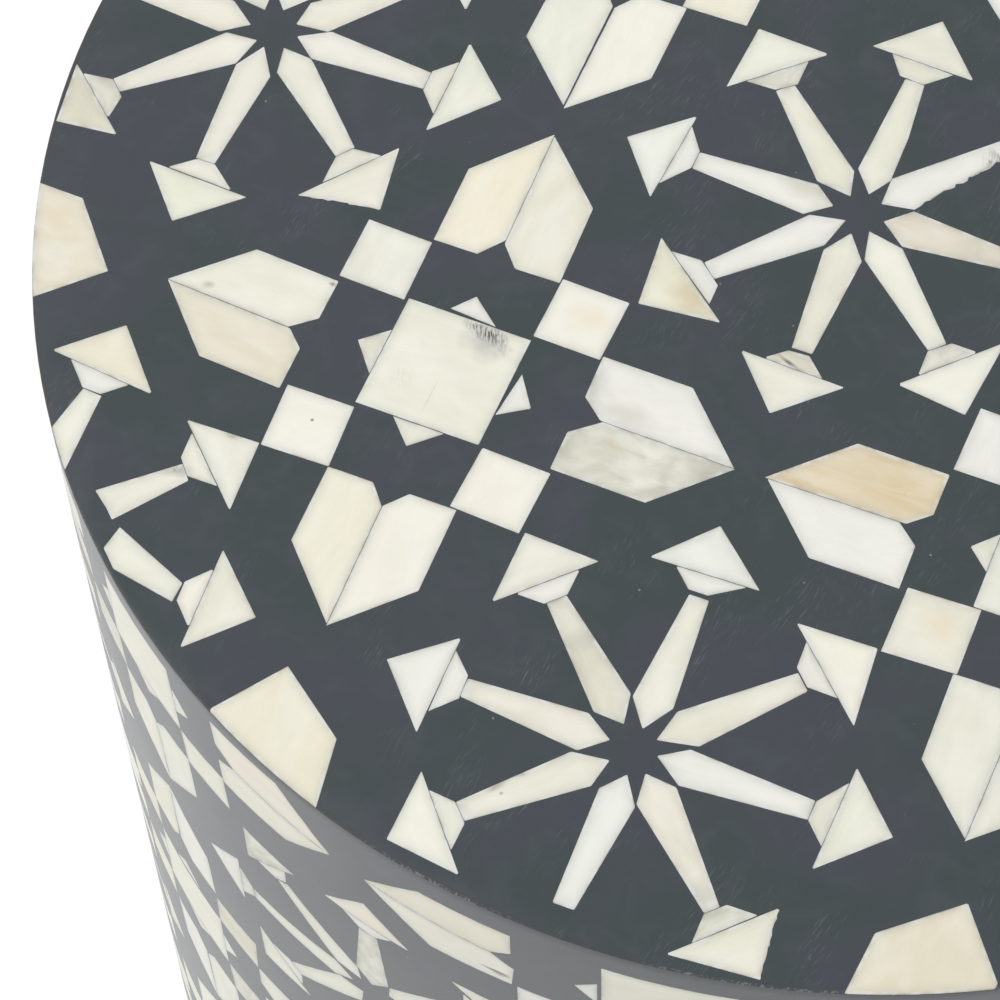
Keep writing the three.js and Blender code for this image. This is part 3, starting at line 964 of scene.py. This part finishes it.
def bone_material():
    """Camel bone, sawn, glued, ground flush and polished: milky cream, faintly clouded along each
    slip"""
    new, tree, surface = material("ground_camel_bone", IOR=1.54)
    slip = node(tree, "UVMap", uv_map="slip")
    place = node(tree, "TexCoord").outputs["Object"]
    tint = node(tree, "Attribute", attribute_name="tint").outputs[0]
    marks = node(tree, "SeparateColor", {0: node(tree, "Attribute", attribute_name="marks")})
    cloudy, stained, pitted = marks.outputs
    depth = node(tree, "Attribute", attribute_name="depth").outputs["Fac"]

    # Clouds 10 to 20 mm across, drawn out along the grain: whiter where the bone is dense
    clouds = grain(tree, slip, 1, 3, 0.6, (0.45, 0.9, 1))
    # Smoky marbling 5 mm across, plain where the bone is dull
    marble = grain(tree, slip, 1, 4, 0.5, (1.1, 1.9, 1), (7, 43, 0))
    dullest = node(tree, "Math", {0: cloudy, 1: 2.0}, operation="POWER")
    # Tan stain along the grain, in streaks 3 mm wide
    stains = grain(tree, slip, 1, 4, 1.0, (0.5, 2.4, 1), (31, 17, 0))
    # Fibres 0.5 mm wide and a few millimetres long, barely seen
    fibres = grain(tree, slip, 1, 3, 0.3, (2.2, 20, 1))
    # Pores: dark dots and dashes 0.2 mm wide in a few slips
    pores = grain(tree, slip, 1, 1, 0.0, (9, 26, 1))
    whole = layered(
        tree, tint,
        ("FAF9F0", clouds, [(0.45, 0), (0.7, 0.45)]),
        ("CDCCBC", clouds, [(0.3, 0.5), (0.52, 0)], cloudy),
        ("000000", marble, [(0.34, 0.0256), (0.58, 0)]),
        ("BFBCAA", marble, [(0.36, 0.5), (0.56, 0)], dullest),
        ("DFC99E", stains, [(0.42, 0), (0.66, 0.75)], stained),
        ("000000", fibres, [(0.35, 0.0175), (0.6, 0)]),
        ("8E8270", pores, [(0.7, 0), (0.78, 0.8)], pitted))

    # Flaws of single tiles with wavering edges, and dashes 0.25 mm wide where the pores lie open
    waver = node(tree, "MapRange", {0: grain(tree, place, 260, 4), 3: -0.45, 4: 0.45})
    turned = node(tree, "Mapping", {0: place, "Rotation": (0, 0, math.radians(69))})
    dashes = node(tree, "ValToRGB", {0: grain(tree, turned, 1, 2, 0.0, (550, 2600, 550))},
                  [(0.42, 0.12), (0.56, 1)])
    deep = 5
    flaws = [((x * MM, y * MM, TOP_LEVEL), deep, *rest) for x, y, *rest in FLAWS_ON_TOP]
    flaws += [((x * MM, y * MM, z * MM), rest[2], *rest) for x, y, z, *rest in FLAWS_ON_WALL]
    for spot, thick, turn, length, width, tone, strength, broken in flaws:
        own = node(tree, "Mapping", {
            0: place, "Location": spot, "Rotation": (0, 0, math.radians(turn)),
            "Scale": (length * MM, width * MM, thick * MM)}, vector_type="TEXTURE")
        away = node(tree, "VectorMath", {0: own}, operation="LENGTH").outputs["Value"]
        reach = node(tree, "Math", {0: away, 1: waver}, operation="ADD")
        dashed = [dashes] if broken else []
        whole = layered(tree, whole, (tone, reach, [(0.2, strength), (1, 0)], *dashed))

    # Bone lets light through: within 3 mm of the resin it takes on some of its darkness. The ground
    # edge, 1 mm wide, is paler in some stretches, a painted highlight where it catches the light,
    # and dark in others, where resin crept over it.
    near = node(tree, "MapRange", {0: depth, 2: 3.0})
    rim = node(tree, "MapRange", {0: depth, 2: 1.1, 3: 1.0, 4: 0.0})
    edge = node(tree, "Math", {0: rim, 1: 4.0}, operation="POWER")
    patches = grain(tree, slip, 2.3, 3)
    whole = layered(
        tree, whole,
        ("7A7D7E", near, [(0, 0.24), (0.2, 0.215), (0.37, 0.125), (0.57, 0.06), (1, 0)]),
        # Painted highlight: paler stretches along the ground edge of each tile
        ("EEF0EE", patches, [(0.42, 0.75), (0.58, 0)], rim),
        ("9C9B91", patches, [(0.4, 0.25), (0.64, 0.75)], edge))
    gloss = node(tree, "MapRange", {0: fibres, 3: 0.36, 4: 0.48})
    surfaced(tree, surface, whole, gloss, fibres, 0.1, 0.1 * MM)
    return new


def scratch_lines(tree, place, turn, seed):
    """Fine scratches in bundles: 0.25 mm wide and about 5 mm long"""
    turned = node(tree, "Mapping", {0: place, "Rotation": (0, 0, math.radians(-turn))})
    lines = grain(tree, turned, 1, 2, 0.15, (260, 2900, 260), (seed, 0, 0))
    bundles = grain(tree, turned, 1, 3, 0.0, (45, 80, 60), (0, seed, 0))
    drawn = node(tree, "ValToRGB", {0: lines}, [(0.58, 0), (0.72, 1)])
    shown = node(tree, "ValToRGB", {0: bundles}, [(0.56, 0), (0.74, 1)])
    return node(tree, "Math", {0: drawn, 1: shown}, operation="MULTIPLY")


# Where the rim has been knocked in plain view
RUBBED_SPOT = (-27.5 * MM, -188 * MM, TOP_LEVEL)


def resin_material(colours):
    """Polyester resin filled with dark pigment, ground flush and polished: even, with fine
    scratches and dust"""
    new, tree, surface = material(
        "pigmented_resin", IOR=1.55, Coat_Weight=0.36, Coat_Roughness=0.25)
    place = node(tree, "TexCoord").outputs["Object"]

    # The pigment drifts over 30 mm, and the polish has left smears of 8 mm
    drift = grain(tree, place, 30, 4, 0.5)
    smears = grain(tree, place, 120, 4, 0.8)
    # Scratches of the last sanding and of use, in two directions close together
    lines = node(tree, "Math", {0: scratch_lines(tree, place, 75, 3),
                                1: scratch_lines(tree, place, 86, 11)}, operation="MAXIMUM")
    # Bone dust caught in the resin, in specks of 0.3 mm, and pits of 0.6 mm where a bubble was
    # ground open, filled with old polish
    dust, pits = (node(tree, "TexVoronoi", {"Vector": place, "Scale": cells}).outputs["Distance"]
                  for cells in (75, 52))

    # A dark brown line 1 mm wide just inside the rim of the top is painted shade of the rounded
    # rim. The rim is rubbed
    # in stretches and where it was knocked: pale crumbs 0.4 mm across
    flat = node(tree, "VectorMath", {0: place, 1: (1, 1, 0)}, operation="MULTIPLY")
    radius = node(tree, "VectorMath", {0: flat}, operation="LENGTH").outputs["Value"]
    height = node(tree, "SeparateXYZ", {0: place}).outputs[2]
    outer, inner, upper = (
        node(tree, "MapRange", {0: value, 1: level - start * MM, 2: level - end * MM})
        for value, level, start, end in (
            (radius, DRUM_RADIUS, 0.7, 0.3), (radius, DRUM_RADIUS, 1.3, 0.6),
            (height, TOP_LEVEL, 0.5, 0.2)))
    stretches = grain(tree, place, 14, 2)
    crumbs = grain(tree, place, 1500, 3)
    away = node(tree, "VectorMath", {0: place, 1: RUBBED_SPOT}, operation="DISTANCE")
    knocked = node(tree, "MapRange", {0: away.outputs["Value"], 1: 22 * MM, 2: 8 * MM})
    rubbed = node(tree, "ValToRGB", {0: stretches}, [(0.5, 0.1), (0.62, 1)])
    worn = node(tree, "Math", {0: rubbed, 1: knocked}, operation="MAXIMUM")
    whole = layered(
        tree, colour(colours.resin),
        (colours.resin_drift, drift, [(0.43, 0), (0.57, 1)]),
        ("3D474D", smears, [(0.5, 0), (0.72, 0.22)]),
        ("7E868C", lines, [(0, 0), (1, 0.34)]),
        ("A9ADAA", dust, [(0.012, 0.5), (0.025, 0)]),
        ("0B0C0D", pits, [(0.02, 0.6), (0.04, 0)]),
        # Painted shade: a dark brown line just inside the rim of the top, broken up in stretches
        ("211D1B", stretches, [(0.4, 0.75), (0.6, 0.3)], inner, upper),
        ("8B8C8A", crumbs, [(0.48, 0.03), (0.64, 0.6)], worn, outer, upper))
    gloss = node(tree, "MapRange", {0: drift, 3: 0.3, 4: 0.4})
    scored = node(tree, "Math", {0: lines, 1: 0.12}, operation="MULTIPLY")
    rough = node(tree, "Math", {0: gloss, 1: scored}, operation="ADD")
    surfaced(tree, surface, whole, rough, drift, 0.1, 0.2 * MM)
    return new


def two_toned(name, pattern, edges, tones, relief=(), gloss=None, **shader):
    """A material with two tones that change over between two levels of one pattern, which also
    makes its relief and its roughness. The pattern is what grain() takes, and the relief a
    strength and a depth."""
    new, tree, surface = material(name, **shader)
    cells = grain(tree, node(tree, "TexCoord").outputs["Object"], *pattern)
    whole = layered(tree, colour(tones[0]), (tones[1], cells, [(edges[0], 0), (edges[1], 1)]))
    rough = gloss and node(tree, "MapRange", {0: cells, 3: gloss[0], 4: gloss[1]})
    surfaced(tree, surface, whole, rough, cells if relief else None, *relief)
    return new


def fibreboard_material():
    """Medium density fibreboard, sanded: even brown with fibre about 1 mm long"""
    return two_toned("sanded_fibreboard", (900, 4), (0.35, 0.65), ("8F6F4B", "B89468"),
                     (0.3, 0.1 * MM), Roughness=0.85)


def softwood_material():
    """Planed pine: yellow with growth rings 3 mm apart that run up the post"""
    return two_toned("planed_pine", (1, 3, 1.5, (330, 330, 9)), (0.4, 0.6), ("DDBE85", "BE9055"),
                     (0.2, 0.2 * MM), Roughness=0.6)


def nylon_material():
    """Nylon, injection moulded: black with a spark-eroded grain of 0.4 mm"""
    return two_toned("moulded_nylon", (2500, 2), (0.3, 0.7), ("18181A", "222225"),
                     (0.3, 0.05 * MM), (0.42, 0.55), IOR=1.53)


def zinc_material():
    """Steel, zinc plated and passivated: pale bluish grey, with crystals of 1.5 mm"""
    return two_toned("zinc_plated_steel", (600, 3), (0.3, 0.7), ("B4B8BD", "C9CBCB"),
                     gloss=(0.25, 0.4), Metallic=1.0)


def painted_material():
    """Fibreboard sprayed with thin matt black paint: slightly furry, lighter where it soaked in"""
    new, tree, surface = material("black_sprayed_board", Roughness=0.7)
    place = node(tree, "TexCoord").outputs["Object"]
    soaked = grain(tree, place, 22, 3)
    whole = layered(tree, colour("1D1E20"), ("2E2F31", soaked, [(0.35, 0), (0.7, 1)]))
    surfaced(tree, surface, whole, None, grain(tree, place, 700, 4), 0.35, 0.1 * MM)
    return new


def plywood_material(name, bent):
    """Birch plywood: plies 1.2 mm thick at its edges, pale with long grain on its faces.
    The plies of a bent sheet lie round the drum, and those of a flat one lie level."""
    new, tree, surface = material(name, Roughness=0.7)
    place = node(tree, "TexCoord").outputs["Object"]
    if bent:
        flat = node(tree, "VectorMath", {0: place, 1: (1, 1, 0)}, operation="MULTIPLY")
        depth = node(tree, "VectorMath", {0: flat}, operation="LENGTH").outputs["Value"]
    else:
        depth = node(tree, "SeparateXYZ", {0: place}).outputs[2]
    two_plies = node(tree, "Math", {0: depth, 1: 2.4 * MM}, operation="DIVIDE")
    plies = node(tree, "Math", {0: two_plies}, operation="FRACT")
    streaks = grain(tree, place, 1, 4, 0.0, (260, 260, 14))
    wood = layered(tree, colour("B8925E"), ("D6B684", streaks, [(0.3, 0), (0.7, 1)]))
    whole = layered(tree, wood, ("A98254", plies, [(0.46, 0), (0.54, 0.45)]), blend="MULTIPLY")
    surfaced(tree, surface, whole, None, streaks, 0.25, 0.2 * MM)
    return new


def seen_rays(tree):
    """1 for rays that show the background to the camera, directly or in a reflection"""
    path = node(tree, "LightPath")
    seen = path.outputs["Is Camera Ray"]
    for kind in ("Is Glossy Ray", "Is Transmission Ray"):
        seen = node(tree, "Math", {0: seen, 1: path.outputs[kind]}, operation="MAXIMUM")
    return seen


def paper_material():
    """Matt white background paper, which keeps a part of the shadow that falls on it"""
    new, tree, surface = material("background_paper", Roughness=0.9, Base_Color=colour("F4F4F4"))
    glow = node(tree, "Emission", {0: (1, 1, 1, 1), 1: 1.033})
    share = node(tree, "Math", {0: seen_rays(tree), 1: 0.9}, operation="MULTIPLY")
    both = node(tree, "MixShader", {0: share, 1: surface, 2: glow})
    tree.links.new(both.outputs[0], tree.nodes["Material Output"].inputs[0])
    return new


def shared(name, make, *settings):
    """A material made the first time that it is asked for"""
    return bpy.data.materials.get(name) or make(*settings)


# Operators


class LayTopTiles(bpy.types.Operator):
    """Lays the bone tiles of the top flush with it"""

    bl_idname = "stool.lay_top_tiles"
    bl_label = "Lay Top Tiles"

    def execute(self, context):
        stool = context.scene.stool
        mesh = tile_faces(inlay_of(stool, True), True)
        for vert in mesh.verts:
            vert.co.z = TOP_LEVEL
        tiles = object_from(mesh, "bone_tiles_top")
        modified(tiles, "SOLIDIFY", thickness=stool.sizes.inlay_thickness, offset=-1)
        handed_over(tiles, shared("ground_camel_bone", bone_material), "top_bone_tiles")
        return {"FINISHED"}


class CastTopResin(bpy.types.Operator):
    """Casts the resin of the top round its tiles and sands the rim"""

    bl_idname = "stool.cast_top_resin"
    bl_label = "Cast Top Resin"

    def execute(self, context):
        stool = context.scene.stool
        sizes = stool.sizes
        height = TOP_LEVEL - WALL_TOP
        field = added(
            bpy.ops.mesh.primitive_cylinder_add, "resin_field_top", vertices=sizes.facets,
            radius=DRUM_RADIUS, depth=height, location=(0, 0, TOP_LEVEL - height / 2))
        rounded(field, sizes.rim_rounding, 4,
                lambda p: p.z > TOP_LEVEL - NEAR and p.xy.length > DRUM_RADIUS - NEAR)
        sunk = TOP_LEVEL - sizes.inlay_thickness
        outlines = [tile.outline for tile in inlay_of(stool, True)]
        cut_away(field, prisms(outlines, sunk, TOP_LEVEL + OVERRUN))
        smoothed(field, 20)
        finish = shared("pigmented_resin", resin_material, stool.colours)
        handed_over(field, finish, "top_resin")
        return {"FINISHED"}


class LayWallTiles(bpy.types.Operator):
    """Lays the bone tiles of the wall, bent round the drum"""

    bl_idname = "stool.lay_wall_tiles"
    bl_label = "Lay Wall Tiles"

    def execute(self, context):
        stool = context.scene.stool
        sizes = stool.sizes
        mesh = tile_faces(inlay_of(stool, False), False)
        flat = GIRTH / sizes.facets
        first = math.ceil(min(vert.co.x for vert in mesh.verts) / flat)
        last = math.floor(max(vert.co.x for vert in mesh.verts) / flat)
        for number in range(first, last + 1):
            bmesh.ops.bisect_plane(
                mesh, geom=mesh.verts[:] + mesh.edges[:] + mesh.faces[:], dist=MERGED,
                plane_co=(number * flat, 0, 0), plane_no=(1, 0, 0))
        tiles = object_from(mesh, "bone_tiles_wall")
        modified(tiles, "SOLIDIFY", thickness=sizes.inlay_thickness, offset=-1)
        bent_round(tiles, sizes.facets)
        smoothed(tiles, 30)
        handed_over(tiles, shared("ground_camel_bone", bone_material), "wall_inlay")
        return {"FINISHED"}


class CastWallResin(bpy.types.Operator):
    """Casts the resin of the wall round its tiles, flat, and bends it round the drum"""

    bl_idname = "stool.cast_wall_resin"
    bl_label = "Cast Wall Resin"

    def execute(self, context):
        stool = context.scene.stool
        sizes = stool.sizes
        height, rows = WALL_TOP - WALL_BOTTOM, 36
        under, edge, seam = -6 * MM, MM, 0.002 * MM
        field = added(bpy.ops.mesh.primitive_grid_add, "resin_field_wall", size=1,
                      x_subdivisions=sizes.facets, y_subdivisions=rows)
        field.scale = (GIRTH, height, 1)
        field.location = (GIRTH / 2, WALL_BOTTOM + height / 2, 0)
        settled(field)
        modified(field, "SOLIDIFY", thickness=sizes.inlay_thickness, offset=-1)
        rounded(field, sizes.rim_rounding, 3, lambda p: p.y < WALL_BOTTOM + NEAR and p.z > -NEAR)
        outlines = []
        for tile in inlay_of(stool, False):
            for turn in (-GIRTH, 0, GIRTH):
                outline = [point + Vector((turn, 0)) for point in tile.outline]
                across = [point.x for point in outline]
                if max(across) > -edge and min(across) < GIRTH + edge:
                    outlines.append(folded(outline, GIRTH / sizes.facets))
        cut_away(field, prisms(outlines, under, OVERRUN))
        mesh = editing(field)
        for end in (0, GIRTH):
            pick(mesh, "faces", lambda p: abs(p.x - end) < NEAR)
            bpy.ops.mesh.delete(type="FACE")
        bpy.ops.object.mode_set(mode="OBJECT")
        bent_round(field, sizes.facets)
        editing(field)
        bpy.ops.mesh.select_all(action="SELECT")
        bpy.ops.mesh.remove_doubles(threshold=seam)
        smoothed(field, 20)
        finish = shared("pigmented_resin", resin_material, stool.colours)
        handed_over(field, finish, "wall_inlay")
        return {"FINISHED"}


class TurnGlides(bpy.types.Operator):
    """Makes the four glides under the base, each with a pocket and a bore for its screw"""

    bl_idname = "stool.turn_glides"
    bl_label = "Turn Glides"

    def execute(self, context):
        axis = (glide_low + glide_high) / 2
        radius = (glide_high.x - glide_low.x) / 2
        pocket, bore, depth, edge = 4.3 * MM, 2.3 * MM, 2.6 * MM, 0.8 * MM
        model = added(bpy.ops.mesh.primitive_cylinder_add, "glide_pad", vertices=48,
                      radius=radius, depth=glide_high.z - glide_low.z, location=axis)
        mesh = rounded(model, edge, 4, lambda p: p.z < glide_low.z + NEAR)
        pick(mesh, "faces", lambda p: p.z < glide_low.z + NEAR)
        bpy.ops.mesh.inset(thickness=radius - edge - pocket)
        bpy.ops.mesh.extrude_region_move(TRANSFORM_OT_translate={"value": (0, 0, depth)})
        bpy.ops.mesh.inset(thickness=pocket - bore)
        for face in bmesh.from_edit_mesh(model.data).faces:
            if all(vert.co.z > glide_high.z - NEAR for vert in face.verts):
                face.select_set(True)
        bpy.ops.mesh.delete(type="FACE")
        mesh = bmesh.from_edit_mesh(model.data)
        bpy.ops.mesh.select_all(action="DESELECT")
        bpy.ops.mesh.select_mode(type="EDGE")
        for side in mesh.edges:
            if side.is_boundary and side.verts[0].co.z > glide_high.z - NEAR:
                side.select_set(True)
        bpy.ops.mesh.extrude_region_move(TRANSFORM_OT_translate={"value": (0, 0, 0)})
        bpy.ops.transform.resize(value=(bore / radius, bore / radius, 1), center_override=axis)
        for side in bmesh.from_edit_mesh(model.data).edges:
            side.select_set(side.is_boundary)
        bpy.ops.mesh.bridge_edge_loops()
        bpy.ops.mesh.select_all(action="SELECT")
        bpy.ops.mesh.normals_make_consistent(inside=False)
        smoothed(model, 35)
        placed_round(model, nylon_material(), "glide_pad", "glide")
        return {"FINISHED"}


class DriveScrews(bpy.types.Operator):
    """Makes the pan-head screws that hold the glides, with a cross recess in each head"""

    bl_idname = "stool.drive_screws"
    bl_label = "Drive Screws"

    def execute(self, context):
        middle_x, middle_y, _ = (screw_low + screw_high) / 2
        under = screw_low.z
        radius = (screw_high.x - screw_low.x) / 2
        head, shank, point, edge = 1.6 * MM, 2 * MM, 4 * MM, 0.9 * MM
        slot_size, slot_taper = (4.2 * MM, 0.9 * MM, 2.2 * MM), 0.4
        head_top = under + head
        model = added(bpy.ops.mesh.primitive_cylinder_add, "glide_screw", vertices=32,
                      radius=radius, depth=head, location=(middle_x, middle_y, under + head / 2))
        mesh = rounded(model, edge, 5, lambda p: p.z < under + NEAR)
        pick(mesh, "faces", lambda p: p.z > head_top - NEAR)
        bpy.ops.mesh.inset(thickness=radius - shank)
        for rise in (screw_high.z - point - head_top, point):
            bpy.ops.mesh.extrude_region_move(TRANSFORM_OT_translate={"value": (0, 0, rise)})
        bpy.ops.mesh.merge(type="CENTER")
        bpy.ops.object.mode_set(mode="OBJECT")
        for turn in (45, 135):
            slot = added(
                bpy.ops.mesh.primitive_cube_add, "cross_slot", size=1, scale=slot_size,
                rotation=(0, 0, math.radians(turn)), location=(middle_x, middle_y, under))
            mesh = editing(slot)
            pick(mesh, "faces", lambda p: p.z > under)
            bpy.ops.transform.resize(value=(slot_taper, slot_taper, 1),
                                     center_override=(middle_x, middle_y, under))
            cut_away(model, slot)
        smoothed(model, 35)
        placed_round(model, zinc_material(), "pan_screw", "glide_screw")
        return {"FINISHED"}


class FinishCarcass(bpy.types.Operator):
    """Gives the boards, the bent skin, the hoops and the uprights their materials"""

    bl_idname = "stool.finish_carcass"
    bl_label = "Finish Carcass"

    def execute(self, context):
        finishes = {
            "top_board": fibreboard_material(),
            "base_board": painted_material(),
            "wall_skin": plywood_material("bent_birch_plywood", True),
            "hoop": plywood_material("flat_birch_plywood", False),
            "upright": softwood_material(),
        }
        for name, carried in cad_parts.items():
            for start, finish in finishes.items():
                if name.startswith(start):
                    carried.data.materials.clear()
                    carried.data.materials.append(finish)
        return {"FINISHED"}


def turn_towards(way):
    """The turn that makes a camera or a lamp look that way, upright"""
    return way.to_track_quat("-Z", "Y").to_matrix().to_4x4()


class SetStage(bpy.types.Operator):
    """Sets the floor, the light and the camera"""

    bl_idname = "stool.set_stage"
    bl_label = "Set Stage"

    def execute(self, context):
        studio = context.scene.stool.studio
        floor_width, lamp_place, lamp_width, film_width = 12, (-1.3, -0.4, 2.2), 1.2, 36
        floor = added(bpy.ops.mesh.primitive_plane_add, "studio_floor", size=floor_width,
                      location=(0, 0, 0))
        floor.data.materials.append(paper_material())
        world = bpy.data.worlds.new("studio")
        context.scene.world = world
        world.use_nodes = True
        tree = world.node_tree
        strength = node(tree, "MapRange", {0: seen_rays(tree), 3: studio.sky, 4: 1.0})
        sky = tree.nodes["Background"]
        sky.inputs[0].default_value = (1, 1, 1, 1)
        tree.links.new(strength.outputs[0], sky.inputs[1])
        deselect()
        bpy.ops.object.light_add(type="AREA", location=lamp_place)
        lamp = bpy.context.object
        lamp.name = "soft_box"
        lamp.data.shape = "DISK"
        lamp.data.size = lamp_width
        lamp.data.energy = studio.lamp
        lamp.rotation_euler = turn_towards(Vector((0, 0, 0.3)) - lamp.location).to_euler()
        forward = (Vector(studio.aim) - Vector(studio.camera)).normalized()
        turn = Matrix.Rotation(studio.roll, 4, forward) @ turn_towards(forward)
        deselect()
        bpy.ops.object.camera_add(location=studio.camera, rotation=turn.to_euler())
        camera = bpy.context.object
        camera.data.lens = studio.lens
        camera.data.sensor_width = film_width
        context.scene.camera = camera
        context.scene.view_settings.view_transform = "Standard"
        return {"FINISHED"}


class StoolPanel(bpy.types.Panel):
    """Steps that build the stool, in their order"""

    bl_idname = "VIEW3D_PT_drum_stool"
    bl_label = "Drum Stool"
    bl_space_type = "VIEW_3D"
    bl_region_type = "UI"
    bl_category = "Drum Stool"

    def draw(self, context):
        stool = context.scene.stool
        for group in (stool.sizes, stool.pattern, stool.colours, stool.studio):
            box = self.layout.box()
            for key in group.bl_rna.properties.keys():
                if key not in ("rna_type", "name"):
                    box.prop(group, key)
        for step in STEPS:
            self.layout.operator(step.bl_idname)


class StoolSettings(bpy.types.PropertyGroup):
    """Everything that the user may change"""

    sizes: PointerProperty(type=DrumSizes)
    pattern: PointerProperty(type=InlayPattern)
    colours: PointerProperty(type=InlayColours)
    studio: PointerProperty(type=StudioSettings)


STEPS = (LayTopTiles, CastTopResin, LayWallTiles, CastWallResin, TurnGlides, DriveScrews,
         FinishCarcass, SetStage)
CLASSES = (DrumSizes, InlayPattern, InlayColours, StudioSettings, StoolSettings, StoolPanel, *STEPS)


def register():
    for entry in CLASSES:
        bpy.utils.register_class(entry)
    bpy.types.Scene.stool = PointerProperty(type=StoolSettings)


def unregister():
    del bpy.types.Scene.stool
    for entry in reversed(CLASSES):
        bpy.utils.unregister_class(entry)


def main():
    register()
    bpy.ops.stool.lay_top_tiles()
    bpy.ops.stool.cast_top_resin()
    bpy.ops.stool.lay_wall_tiles()
    bpy.ops.stool.cast_wall_resin()
    bpy.ops.stool.turn_glides()
    bpy.ops.stool.drive_screws()
    bpy.ops.stool.finish_carcass()
    bpy.ops.stool.set_stage()


if __name__ == "__main__":
    main()
